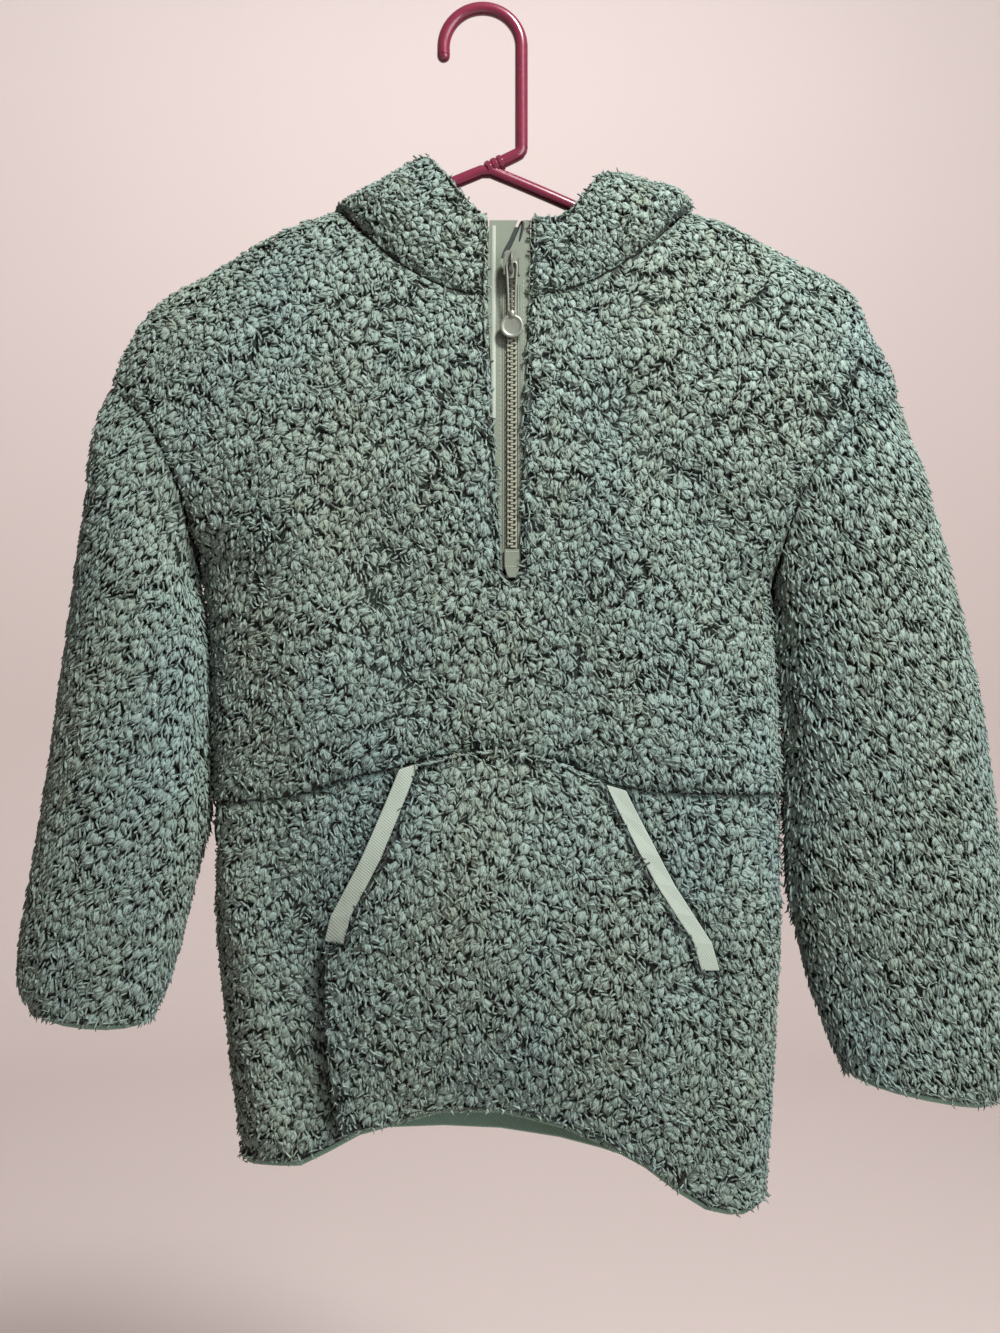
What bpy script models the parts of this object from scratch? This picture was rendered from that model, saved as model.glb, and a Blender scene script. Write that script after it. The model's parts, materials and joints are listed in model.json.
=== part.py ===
"""Sherpa fleece pullover with a half zip, hood and kangaroo pocket, hanging on a tubular plastic hanger.

Metres, +Z up. X runs to the right as the front is looked at, and the front faces -Y. "Left" and
"right" are those of someone looking at the front. The origin is where the hanger's hook rests on its
peg. Each table is in millimetres and has one row per section of the garment.
"""

import math
from collections import defaultdict

import bmesh
import bpy
import numpy as np
from mathutils import Matrix, Vector

MM = 0.001

# ---------------------------------------------------------------- driving dimensions (mm)
SHERPA = 8.0             # wall of a sherpa panel: knitted backing and curled pile
POCKET_WALL = 6.0        # the pocket's panel is pressed flatter than the rest
SEAM_INSET = 0.15        # each panel stops this short of its seam line, so that seams are 0.3 wide
BODY_ROUNDNESS = 2.5     # exponent of the body's superellipse section
SLEEVE_ROUNDNESS = 2.15

COLUMNS = 10             # quads from a side edge of the body to its centre line
TIP, UNDERARM, WAIST, HEM = 6, 14, 20, 29   # numbers of the body rings at those places

BINDING_DROP = 4.5       # how far the knitted binding hangs below a hem or a cuff
BINDING_INNER_LEG = 8.0  # how far it goes up inside

POCKET_ROWS, POCKET_COLUMNS = 12, 12
POCKET_MOUTH_ROW = 6     # the hand openings run from the waist seam down to this row
POCKET_BINDING = 12.0    # width of the smooth binding along each hand opening
POCKET_BULGE = 9.0       # how far the pouch stands open at its middle

ZIP_X = 20.6             # the zip's centre line
ZIP_RECESS = 3.6         # the tapes lie this far under the tips of the pile
TAPE = 1.2
CHAIN_WIDTH, CHAIN_THICK = 5.8, 2.4
CHAIN_TOP, CHAIN_BOTTOM = -158.0, -333.0
ZIP_FOOT_Z = -345.5      # where the tapes and the end tab stop
SLIDER_SIZE = (10.0, 3.0, 17.5)
SLIDER_Z = -164.0
PULL_LENGTH = 38.0       # from the pivot to the middle of the disc
PULL_WIRE = 1.6
PULL_DISC_DIAMETER, PULL_DISC_THICK = 14.0, 2.4

HANGER_TUBE = 8.0
HOOK_RADIUS = 24.1       # to the middle of the tube
HOOK_CENTRE = (2.75, -19.8)
HOOK_TIP_Z = -25.0
STEM_BEND_Z = -84.9
HANGER_APEX = (5.0, -95.5)
ARM_REACH = 186.0
ARM_SLOPE, ARM_CURVE = 0.40, 0.00045
HANGER_BAR_Z = -209.0
HANGER_COLLAR = (10.4, 13.0)    # diameter, length

# ---------------------------------------------------------------- tables (mm)
# The body's rings, from the neck seam to the hem. Rings 0 to TIP start and end on the shoulder ridge,
# then on the armholes as far as UNDERARM, then on the side seams. "edge" is how far the armhole stands
# in front of and behind the middle plane, and "arch" how a ring's height runs from centre to side.
RING_COLUMNS = ("ring", "left_x", "left_z", "right_x", "right_z", "front_z", "back_z",
                "front_deep", "back_deep", "edge", "arch")
RING_ROWS = (
    (0, -86, -122, 130, -122, -181, -141, 29, 28, 0, 1.9),
    (1, -108, -128, 152, -129, -196, -160, 31, 29, 0, 1.9),
    (2, -138, -143, 178, -142, -212, -182, 33, 30, 0, 2.0),
    (3, -170, -163, 204, -157, -228, -204, 35, 31, 0, 2.0),
    (4, -197, -178, 228, -169, -244, -225, 36, 32, 0, 2.0),
    (5, -213, -199, 243, -197, -256, -242, 37, 33, 0, 2.0),
    (6, -226, -228, 260, -236, -266, -256, 37, 33, 0, 2.0),
    (7, -211, -244, 243, -249, -276, -268, 37, 33, 18, 2.0),
    (8, -199, -257, 226, -260, -287, -281, 38, 33, 24, 2.0),
    (10, -183, -287, 200, -290, -309, -306, 38, 34, 28, 2.0),
    (12, -175, -315, 186, -326, -332, -329, 38, 34, 24, 2.0),
    (13, -173, -328, 182, -344, -347, -339, 38, 34, 17, 2.0),
    (14, -172, -339, 181, -359, -355, -348, 38, 34, 0, 2.0),
)
# The body from the underarm down. "fall" is 0 at the underarm, 1 at the waist seam, 2 at the hem.
SIDE_COLUMNS = ("fall", "left_x", "right_x", "front_deep", "back_deep", "centre_x")
SIDE_ROWS = (
    (0.0, -172, 181, 38, 34, 20.6),
    (0.3, -165, 183, 39, 34, 19),
    (0.6, -163.5, 185.5, 39, 34, 17),
    (1.0, -163, 187.5, 38, 33, 14),
    (1.3, -163, 188, 36, 33, 14),
    (1.6, -157, 185, 34, 32, 14),
    (2.0, -147, 179, 30, 30, 14),
)
LINE_COLUMNS = ("x", "z")
WAIST_SEAM = ((-164, -486), (-112, -481), (-76, -469), (-55, -465), (-22, -456), (14, -451),
              (50, -459), (74, -471), (98, -477), (188, -481))
FRONT_HEM = ((-147, -705), (-106, -701), (-79, -684), (-46, -674), (-20, -667), (20, -667),
             (50, -676), (74, -686), (100, -700), (122, -717), (146, -731), (165, -734), (179, -729))
BACK_HEM = ((-147, -705), (-80, -692), (-15, -690), (40, -696), (78, -705), (130, -720), (179, -729))
# The zip slit's two edges and, above the slider, the edges of the gap where the tapes part.
SLIT_COLUMNS = ("z", "left_x", "right_x", "gap_left", "gap_right")
SLIT_ROWS = (
    (-350, 14.0, 26.0, 20.45, 20.75),
    (-300, 11.5, 27.0, 20.45, 20.75),
    (-240, 8.5, 29.0, 20.45, 20.75),
    (-181, 6.4, 31.0, 20.45, 20.75),
    (-172, 6.4, 31.4, 20.0, 21.2),
    (-160, 6.4, 31.6, 13.6, 17.4),
    (-146, 6.6, 32.0, 19.5, 22.5),
    (-133, 7.0, 32.4, 25.0, 28.0),
)
# Sleeves, from the armhole to the cuff: the two edges seen from the front, and the depth each way.
SLEEVE_COLUMNS = ("ring", "outer_x", "outer_z", "inner_x", "inner_z", "front_deep", "back_deep", "mid_y")
LEFT_SLEEVE = (
    (1, -236, -258, -174, -351, 30, 30, 0),
    (2, -240.5, -289, -170.5, -368, 34, 33, 1),
    (4, -249.5, -350, -167, -405, 37, 37, 3),
    (6, -258.5, -412, -166, -446, 37, 38, 4),
    (8, -267.5, -473, -167, -490, 35, 37, 4),
    (10, -277, -532, -176, -538, 32, 34, 3),
    (12, -285, -584, -187, -584, 27, 28, 2),
    (13, -284, -603, -194, -606, 23, 23, 1),
    (14, -275, -617, -202, -622, 21, 21, 0),
)
RIGHT_SLEEVE = (
    (1, 270, -268, 184, -372, 29, 28, 0),
    (2, 279.5, -300, 185.5, -388, 31, 30, 0),
    (4, 297, -362, 188, -428, 32, 31, 1),
    (6, 311, -424, 190.5, -470, 32, 31, 2),
    (8, 320, -487, 191.5, -515, 31, 30, 2),
    (10, 327, -550, 196, -562, 28, 28, 2),
    (12, 332, -612, 209, -612, 23, 23, 1),
    (13, 331, -643, 217, -634, 22, 22, 0),
    (14, 321, -672, 226, -654, 21, 21, 0),
)
SLEEVE_RINGS = 14
SLEEVE_HALVES = 8        # a sleeve is one piece of cloth in two solids, which meet at this ring
# The hood hangs down behind. Each row is a strand from the neck seam to the face edge, at a share of
# the way from the zip to the centre back: where it meets the face edge, how far the cloth between
# swells outward, how deep the strand drops down the back, and how wide the bag stands there.
HOOD_COLUMNS = ("share", "edge_x", "edge_y", "edge_z", "swell", "drop", "bag")
LEFT_HOOD = (
    (0.00, 6.6, -27, -133, 0, 0, 0),
    (0.10, -4, -26, -124, 3, 0, 0),
    (0.20, -20, -24, -104, 6, 0, 0),
    (0.30, -34, -14, -91, 10, 0, 0),
    (0.40, -53, 6, -103, 13, 0, 0),
    (0.50, -77, 34, -112, 10, 0, 0),
    (0.60, -99, 64, -126, 0, 34, 24),
    (0.72, -92, 88, -140, 0, 118, 34),
    (0.86, -42, 96, -150, 0, 186, 42),
    (1.00, 20.6, 98, -154, 0, 206, 46),
)
RIGHT_HOOD = (
    (0.00, 32.4, -27, -133, 0, 0, 0),
    (0.10, 50, -26, -132, 3, 0, 0),
    (0.20, 65, -23, -115, 6, 0, 0),
    (0.30, 78, -14, -101, 11, 0, 0),
    (0.40, 96, 4, -98, 15, 0, 0),
    (0.50, 118, 32, -107, 12, 0, 0),
    (0.60, 139, 62, -125, 0, 34, 24),
    (0.72, 133, 88, -140, 0, 118, 34),
    (0.86, 83, 96, -150, 0, 186, 42),
    (1.00, 20.6, 98, -154, 0, 206, 46),
)
HOOD_ROWS = 16
HOOD_BACK_Y = 39.0       # the bag's near side hangs this far behind the middle plane
HOOD_CREST = 9.0         # the neck's back stands this high before it falls over
# The pouch's two sides, at the waist seam, at the foot of each hand opening, and at the hem.
POCKET_SIDE_COLUMNS = ("row", "left_x", "left_z", "right_x", "right_z")
POCKET_SIDES = (
    (0, -46, -467, 88, -475),
    (3, -69, -517, 117, -530),
    (6, -91, -566, 145, -584),
    (9, -90, -618, 145, -640),
    (12, -80, -683, 121, -711),
)
# Soft folds: a ridge or a trough from one point of the front or back to another.
FOLD_COLUMNS = ("x0", "z0", "x1", "z1", "width", "height")
FRONT_FOLDS = (
    (-120, -250, -95, -460, 26, 4.0),
    (-60, -300, -40, -450, 22, -3.5),
    (90, -290, 110, -470, 26, 3.5),
    (60, -230, 150, -330, 20, -3.0),
    (-150, -520, -125, -700, 16, 4.5),
    (-112, -500, -104, -690, 12, -4.0),
    (165, -520, 160, -720, 14, 4.0),
    (14, -500, 20, -660, 30, 3.0),
)
BACK_FOLDS = (
    (-110, -330, -90, -690, 26, 4.0),
    (-30, -380, -40, -690, 24, -4.0),
    (70, -360, 85, -700, 28, 4.0),
    (140, -380, 150, -700, 18, -3.0),
)

# ---------------------------------------------------------------- finishes: colour, roughness, metallic
FINISHES = {
    "sherpa_green": ((0.155, 0.225, 0.185), 0.95, 0.0),
    "smooth_binding": ((0.36, 0.41, 0.36), 0.75, 0.0),
    "knit_binding": ((0.12, 0.20, 0.15), 0.85, 0.0),
    "zip_tape": ((0.30, 0.31, 0.24), 0.85, 0.0),
    "zip_plastic": ((0.36, 0.37, 0.29), 0.45, 0.0),
    "hanger_plastic": ((0.20, 0.012, 0.035), 0.22, 0.0),
}


class Table:
    """A short table whose columns are read at any value of the first one, along a smooth curve."""

    def __init__(self, columns, rows):
        data = np.array(sorted(rows), float)
        self.keys = data[:, 0]
        self.values = {name: data[:, i] for i, name in enumerate(columns)}
        self.slopes = {name: self.flat_slopes(values) for name, values in self.values.items()}

    def flat_slopes(self, values):
        """Slopes that never carry the curve past a row's own value."""
        steps = np.diff(self.keys)
        rises = np.diff(values) / steps
        slopes = np.concatenate([rises[:1], np.zeros(len(rises) - 1), rises[-1:]])
        for i in range(1, len(rises)):
            before, after = rises[i - 1], rises[i]
            if before * after > 0:
                heavy = 2 * steps[i] + steps[i - 1]
                light = steps[i] + 2 * steps[i - 1]
                slopes[i] = (heavy + light) / (heavy / before + light / after)
        return slopes

    def at(self, key, column):
        key = min(max(key, self.keys[0]), self.keys[-1])
        i = min(int(np.searchsorted(self.keys, key, "right")) - 1, len(self.keys) - 2)
        step = self.keys[i + 1] - self.keys[i]
        t = (key - self.keys[i]) / step
        values, slopes = self.values[column], self.slopes[column]
        return float(
            (1 + 2 * t) * (1 - t) ** 2 * values[i] + t * (1 - t) ** 2 * step * slopes[i]
            + t * t * (3 - 2 * t) * values[i + 1] + t * t * (t - 1) * step * slopes[i + 1]
        )


rings = Table(RING_COLUMNS, RING_ROWS)
sides = Table(SIDE_COLUMNS, SIDE_ROWS)
waist_seam = Table(LINE_COLUMNS, WAIST_SEAM)
front_hem = Table(LINE_COLUMNS, FRONT_HEM)
back_hem = Table(LINE_COLUMNS, BACK_HEM)
slit = Table(SLIT_COLUMNS, SLIT_ROWS)
pocket_sides = Table(POCKET_SIDE_COLUMNS, POCKET_SIDES)


def mix(a, b, share):
    return a + (b - a) * share


def smooth(share):
    share = min(max(share, 0.0), 1.0)
    return share * share * (3 - 2 * share)


def oval(share, edge, deep, roundness):
    """Across and depth factors of a superellipse from its edge (share 0) to its middle (share 1).

    The section starts where its depth is already "edge", and across is 1 there.
    """
    start = math.asin((edge / deep) ** (roundness / 2))
    angle = mix(start, math.pi / 2, share)
    across = max(math.cos(angle), 0.0) ** (2 / roundness)
    return across / math.cos(start) ** (2 / roundness), math.sin(angle) ** (2 / roundness)


def fold_height(folds, x, z):
    """How far the soft folds move the cloth outward at a point of a panel."""
    total = 0.0
    for x0, z0, x1, z1, width, height in folds:
        run_x, run_z = x1 - x0, z1 - z0
        along = ((x - x0) * run_x + (z - z0) * run_z) / (run_x**2 + run_z**2)
        ends = smooth(along / 0.25 + 0.3) * smooth((1 - along) / 0.25 + 0.3)
        beside = math.hypot(x - mix(x0, x1, along), z - mix(z0, z1, along))
        total += height * ends * math.exp(-((beside / width) ** 2))
    return total


# ---------------------------------------------------------------- the body's outer surface
def upper_point(ring, side, share, front):
    """A point between the neck and the underarm. share is 0 at the side's edge, 1 at the centre."""
    name = "left" if side < 0 else "right"
    face = "front" if front else "back"
    deep = rings.at(ring, face + "_deep")
    centre_z = rings.at(ring, face + "_z")
    across, depth = oval(share, rings.at(ring, "edge"), deep, BODY_ROUNDNESS)
    centre_x = slit.at(centre_z, name + "_x") if front and ring < UNDERARM else ZIP_X
    x = mix(centre_x, rings.at(ring, name + "_x"), across)
    z = mix(centre_z, rings.at(ring, name + "_z"), across ** rings.at(ring, "arch"))
    lift = fold_height(FRONT_FOLDS if front else BACK_FOLDS, x, z) * smooth(3 * share)
    y = deep * depth + lift
    return Vector((x, -y if front else y, z))


def lower_point(x, fall, front):
    """A point below the underarm, at a place across the body and at a share of the way down."""
    centre_x = sides.at(fall, "centre_x")
    edge_x = sides.at(fall, "left_x" if x < centre_x else "right_x")
    across = min(abs((x - centre_x) / (edge_x - centre_x)), 1.0)
    hem = front_hem if front else back_hem
    waist_z = waist_seam.at(x, "z")
    if fall > 1:
        z = mix(waist_z, hem.at(x, "z"), fall - 1)
    else:
        side_z = rings.at(UNDERARM, ("left" if x < centre_x else "right") + "_z")
        chest_z = mix(rings.at(UNDERARM, "front_z" if front else "back_z"), side_z, across**2)
        z = mix(chest_z, waist_z, fall)
    deep = sides.at(fall, "front_deep" if front else "back_deep")
    depth = (1 - across**BODY_ROUNDNESS) ** (1 / BODY_ROUNDNESS)
    y = deep * depth + fold_height(FRONT_FOLDS if front else BACK_FOLDS, x, z) * smooth(3 * depth - 0.6)
    return Vector((x, -y if front else y, z))


def ring_fall(ring):
    if ring <= WAIST:
        return (ring - UNDERARM) / (WAIST - UNDERARM)
    return 1 + (ring - WAIST) / (HEM - WAIST)


def body_point(ring, side, column, front):
    """The grid point of a body ring, COLUMNS from the side's edge to the centre line."""
    share = column / COLUMNS
    if ring < UNDERARM:
        return upper_point(ring, side, share, front)
    fall = ring_fall(ring)
    across, _ = oval(share, 0, 1, BODY_ROUNDNESS)
    edge_x = sides.at(fall, "left_x" if side < 0 else "right_x")
    return lower_point(mix(sides.at(fall, "centre_x"), edge_x, across), fall, front)


def body_grid(first, last, side, front):
    """Rows of points from one ring to another, wound so that the cloth's outside faces out."""
    rows = [
        [body_point(ring, side, column, front) for column in range(COLUMNS + 1)]
        for ring in range(first, last + 1)
    ]
    return rows if (side < 0) == front else [row[::-1] for row in rows]


# ---------------------------------------------------------------- open surfaces and thick cloth
class Panel:
    """An open surface of quads, thickened inward into one closed solid."""

    def __init__(self, name, grids, finish, wall=SHERPA, sunk=0.0):
        self.name, self.finish, self.wall, self.sunk = name, finish, wall, sunk
        self.points, self.quads, self.index = [], [], {}
        for grid in grids:
            numbers = [[self.number(point) for point in row] for row in grid]
            for upper, lower in zip(numbers, numbers[1:]):
                for i in range(len(upper) - 1):
                    self.quads.append((upper[i], lower[i], lower[i + 1], upper[i + 1]))

    @staticmethod
    def place(point):
        return tuple(round(value, 2) for value in point)

    def number(self, point):
        key = self.place(point)
        if key not in self.index:
            self.index[key] = len(self.points)
            self.points.append(Vector(point))
        return self.index[key]

    def face_normals(self):
        for quad in self.quads:
            a, b, c, d = (self.points[i] for i in quad)
            yield quad, (c - a).cross(d - b)

    def boundary(self):
        used = defaultdict(list)
        for quad in self.quads:
            for a, b in zip(quad, quad[1:] + quad[:1]):
                used[frozenset((a, b))].append((a, b))
        return [edges[0] for edges in used.values() if len(edges) == 1]

    def thicken(self, seam_normals):
        """Builds the solid. At a seam, the panels that meet there share one direction for their walls."""
        normals = [Vector() for _ in self.points]
        for quad, normal in self.face_normals():
            for i in quad:
                normals[i] += normal
        for i, point in enumerate(self.points):
            shared = seam_normals.get(self.place(point))
            normals[i] = (shared or normals[i]).normalized()
        inset = defaultdict(list)
        for a, b in self.boundary():
            inward = ((normals[a] + normals[b]).cross(self.points[b] - self.points[a])).normalized()
            inset[a].append(inward)
            inset[b].append(inward)
        outer = []
        for i, point in enumerate(self.points):
            moved = point - normals[i] * self.sunk
            if i in inset:
                along = sum(inset[i], Vector()).normalized()
                moved += along * SEAM_INSET / max(along.dot(inset[i][0]), 0.4)
            outer.append(moved)
        inner = [point - normals[i] * self.wall for i, point in enumerate(outer)]
        count = len(outer)
        faces = list(self.quads)
        faces += [tuple(i + count for i in reversed(quad)) for quad in self.quads]
        for a, b in self.boundary():
            # Both panels of a seam split each piece of its rim along the same diagonal.
            if self.place(self.points[a]) < self.place(self.points[b]):
                faces += [(b, a, b + count), (a, a + count, b + count)]
            else:
                faces += [(b, a, a + count), (b, a + count, b + count)]
        return make_mesh_object(self.name, outer + inner, faces, self.finish)


def seam_normals_of(panels):
    """One outward direction for each place where the edges of several panels meet."""
    total = defaultdict(Vector)
    for panel in panels:
        for quad, normal in panel.face_normals():
            for i in quad:
                total[panel.place(panel.points[i])] += normal
    return total


def make_mesh_object(name, points, faces, finish):
    mesh = bpy.data.meshes.new(name)
    mesh.from_pydata([point * MM for point in points], [], faces)
    mesh.validate()
    return add_object(name, mesh, finish)


def add_object(name, mesh, finish):
    """A named object in the garment's collection, smooth shaded, with its own material."""
    mesh.shade_smooth()
    mesh.set_sharp_from_angle(angle=math.radians(50))
    made = bpy.data.objects.new(name, mesh)
    colour, roughness, metallic = FINISHES[finish]
    material = bpy.data.materials.new(name + "_" + finish)
    material.use_nodes = True
    shader = material.node_tree.nodes["Principled BSDF"]
    shader.inputs["Base Color"].default_value = (*colour, 1.0)
    shader.inputs["Roughness"].default_value = roughness
    shader.inputs["Metallic"].default_value = metallic
    mesh.materials.clear()
    mesh.materials.append(material)
    bpy.data.collections[COLLECTION].objects.link(made)
    return made


# ---------------------------------------------------------------- sleeves
def sleeve_rows(side, rows):
    """Closed rings of a sleeve, the first one on the armhole's own seam."""
    table = Table(SLEEVE_COLUMNS, rows)
    front = [body_point(ring, side, 0, True) for ring in range(TIP, UNDERARM + 1)]
    back = [body_point(ring, side, 0, False) for ring in range(UNDERARM - 1, TIP, -1)]
    half = UNDERARM - TIP
    loops = [front + back]
    for ring in range(1, SLEEVE_RINGS + 1):
        outer = Vector((table.at(ring, "outer_x"), 0, table.at(ring, "outer_z")))
        inner = Vector((table.at(ring, "inner_x"), 0, table.at(ring, "inner_z")))
        middle, reach = (outer + inner) / 2, (outer - inner) / 2
        loop = []
        for i in range(2 * half):
            angle = math.pi * i / half
            across = math.copysign(abs(math.cos(angle)) ** (2 / SLEEVE_ROUNDNESS), math.cos(angle))
            depth = abs(math.sin(angle)) ** (2 / SLEEVE_ROUNDNESS)
            deep = table.at(ring, "front_deep" if i < half else "back_deep")
            y = table.at(ring, "mid_y") + (-deep if i < half else deep) * depth
            loop.append(middle + reach * across + Vector((0, y, 0)))
        loops.append(loop)
    closed = [loop + loop[:1] for loop in loops]
    return closed if side < 0 else [loop[::-1] for loop in closed]


# ---------------------------------------------------------------- hood
def neck_points(side):
    """The neck seam of one half, from the zip round the shoulder to the centre back."""
    front = [body_point(0, side, column, True) for column in range(COLUMNS, -1, -1)]
    back = [body_point(0, side, column, False) for column in range(1, COLUMNS + 1)]
    return front + back


def along_points(points, share):
    """A place on a smooth curve through the points, at a share of their number."""
    spot = share * (len(points) - 1)
    i = min(int(spot), len(points) - 2)
    t = spot - i
    before, start = points[max(i - 1, 0)], points[i]
    end, after = points[i + 1], points[min(i + 2, len(points) - 1)]
    return 0.5 * (
        2 * start + (end - before) * t + (2 * before - 5 * start + 4 * end - after) * t**2
        + (3 * start - before - 3 * end + after) * t**3
    )


def hood_strand(start, side, table, share):
    """The outside of the hood along one strand, from the neck seam to the face edge."""
    edge = Vector([table.at(share, "edge_" + axis) for axis in "xyz"])
    swell, drop, bag = (table.at(share, name) for name in ("swell", "drop", "bag"))
    outward = Vector((side * 0.75, -0.65, 0.0)) * swell
    straight = [start, mix(start, edge, 0.5) + outward, edge]
    if drop <= 0:
        return [along_points(straight, row / HOOD_ROWS) for row in range(HOOD_ROWS + 1)]
    foot_z = start.z - drop
    far_y = HOOD_BACK_Y + bag
    hang_x = mix(start.x, edge.x, 0.6)
    foot_x = mix(ZIP_X, hang_x, 0.86)
    hung = [
        start,
        start + Vector((0, 1.5, HOOD_CREST * 0.7)),
        Vector((start.x, mix(start.y, HOOD_BACK_Y, 0.5), start.z + HOOD_CREST)),
        Vector((mix(start.x, hang_x, 0.5), HOOD_BACK_Y, start.z + HOOD_CREST * 0.2)),
        Vector((hang_x, HOOD_BACK_Y + 1, start.z - drop * 0.45)),
        Vector((foot_x, HOOD_BACK_Y + bag * 0.12, foot_z + bag * 0.28)),
        Vector((foot_x, HOOD_BACK_Y + bag * 0.5, foot_z)),
        Vector((foot_x, far_y, foot_z + bag * 0.34)),
        Vector((hang_x, mix(far_y, edge.y, 0.5), mix(foot_z, edge.z, 0.55))),
        edge,
    ]
    hanging = smooth(drop / 40)
    return [
        mix(along_points(straight, row / HOOD_ROWS), along_points(hung, row / HOOD_ROWS), hanging)
        for row in range(HOOD_ROWS + 1)
    ]


def hood_grid(side, rows):
    table = Table(HOOD_COLUMNS, rows)
    starts = neck_points(side)
    strands = [
        hood_strand(start, side, table, i / (len(starts) - 1)) for i, start in enumerate(starts)
    ]
    return strands if side > 0 else strands[::-1]


# ---------------------------------------------------------------- pocket
def fall_at(x, z):
    return 1 + (waist_seam.at(x, "z") - z) / (waist_seam.at(x, "z") - front_hem.at(x, "z"))


def pocket_point(row, column):
    """A point of the pouch's outside: the panel behind it, moved out by the wall and the bulge."""
    left_x, right_x = pocket_sides.at(row, "left_x"), pocket_sides.at(row, "right_x")
    if column == 0:
        x = left_x
    elif column == POCKET_COLUMNS:
        x = right_x
    else:
        x = mix(left_x + POCKET_BINDING, right_x - POCKET_BINDING, (column - 1) / (POCKET_COLUMNS - 2))
    across = (x - left_x) / (right_x - left_x)
    mouth_z = mix(pocket_sides.at(POCKET_MOUTH_ROW, "left_z"),
                  pocket_sides.at(POCKET_MOUTH_ROW, "right_z"), across)
    if row <= POCKET_MOUTH_ROW:
        z = mix(waist_seam.at(x, "z") - 0.4, mouth_z, row / POCKET_MOUTH_ROW)
    else:
        low = (row - POCKET_MOUTH_ROW) / (POCKET_ROWS - POCKET_MOUTH_ROW)
        z = mix(mouth_z, front_hem.at(x, "z") + 0.8, low)
    height = row / POCKET_ROWS
    middle = math.sin(math.pi * min(max(height, 0), 1)) * (1 - abs(2 * across - 1) ** 3)
    mouth = math.sin(math.pi * min(height * POCKET_ROWS / POCKET_MOUTH_ROW, 1)) * abs(2 * across - 1)
    out = POCKET_WALL + 0.9 + POCKET_BULGE * middle + 0.5 * POCKET_BULGE * mouth
    return lower_point(x, fall_at(x, z), True) + Vector((0, -out, 0))


def pocket_grid(first_row, last_row, first_column, last_column):
    return [
        [pocket_point(row, column) for column in range(first_column, last_column + 1)]
        for row in range(first_row, last_row + 1)
    ]


# ---------------------------------------------------------------- swept bands
def swept(name, frames, section, closed, finish):
    """A band whose section, in (outward, downward) millimetres, follows frames of (place, out, down)."""
    count = len(section)
    points = [
        place + out * across + down * below for place, out, down in frames for across, below in section
    ]
    faces = []
    steps = len(frames) if closed else len(frames) - 1
    for i in range(steps):
        first, second = i * count, (i + 1) % len(frames) * count
        for k in range(count):
            after = (k + 1) % count
            faces.append((first + k, first + after, second + after, second + k))
    if not closed:
        faces += [tuple(range(count))[::-1], tuple(range((len(frames) - 1) * count, len(points)))]
    made = make_mesh_object(name, points, faces, finish)
    face_out(made)
    return made


def face_out(made):
    """Turns a closed mesh's faces outward."""
    tool = bmesh.new()
    tool.from_mesh(made.data)
    bmesh.ops.recalc_face_normals(tool, faces=tool.faces)
    tool.to_mesh(made.data)
    tool.free()


def loop_frames(last_loop, loop_above, seam_normals, panel_place):
    """Frames along an open end of a tube: its edge points, their outward and their downward directions."""
    frames = []
    for point, above in zip(last_loop, loop_above):
        out = seam_normals[panel_place(point)].normalized()
        down = point - above
        down = (down - out * down.dot(out)).normalized()
        frames.append((point, out, down))
    return frames


BINDING_SECTION = (
    (-SHERPA + 4.2, 0.8),
    (-SHERPA + 4.0, BINDING_DROP - 1.2),
    (-SHERPA + 2.6, BINDING_DROP),
    (-SHERPA + 0.2, BINDING_DROP),
    (-SHERPA - 2.3, BINDING_DROP - 1.4),
    (-SHERPA - 2.6, -BINDING_INNER_LEG),
    (-SHERPA - 1.2, -BINDING_INNER_LEG),
    (-SHERPA - 1.2, 0.8),
)


# ---------------------------------------------------------------- zip
def zip_surface_y(z):
    """The front's outer surface along the zip, from the hood's face edge to the zip's foot."""
    if z > rings.at(0, "front_z"):
        share = (z - rings.at(0, "front_z")) / (slit.keys[-1] - rings.at(0, "front_z"))
        return mix(-rings.at(0, "front_deep"), -27.0, share)
    low, high = 0.0, float(UNDERARM)
    for _ in range(30):
        middle = (low + high) / 2
        if rings.at(middle, "front_z") > z:
            low = middle
        else:
            high = middle
    return -rings.at(low, "front_deep") - fold_height(FRONT_FOLDS, ZIP_X, z)


def tape_grid(side):
    """One tape of the zip, from the sherpa's edge to the middle, or to the gap above the slider."""
    heights = np.concatenate([np.linspace(-134.5, -172, 7), np.linspace(-181, ZIP_FOOT_Z, 13)])
    name, gap = ("left_x", "gap_left") if side < 0 else ("right_x", "gap_right")
    rows = []
    for z in heights:
        outer_x, inner_x = slit.at(z, name) - side * 0.15, slit.at(z, gap)
        y = zip_surface_y(z) + ZIP_RECESS
        ends = [Vector((outer_x, y, z)), Vector((inner_x, y, z))]
        rows.append(ends if side < 0 else ends[::-1])
    return rows


def bar_along_zip(name, top, bottom, width, thick, lift, finish, steps):
    """A flat bar that follows the zip's line, its back lift in front of the tapes."""
    frames = []
    for z in np.linspace(top, bottom, steps + 1):
        y = zip_surface_y(z) + ZIP_RECESS - lift
        frames.append((Vector((ZIP_X, y, z)), Vector((1, 0, 0)), Vector((0, -1, 0))))
    bevel = thick * 0.3
    section = (
        (-width / 2, 0), (width / 2, 0), (width / 2, thick - bevel), (width / 2 - bevel, thick),
        (-width / 2 + bevel, thick), (-width / 2, thick - bevel),
    )
    return swept(name, frames, section, False, finish)


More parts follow.
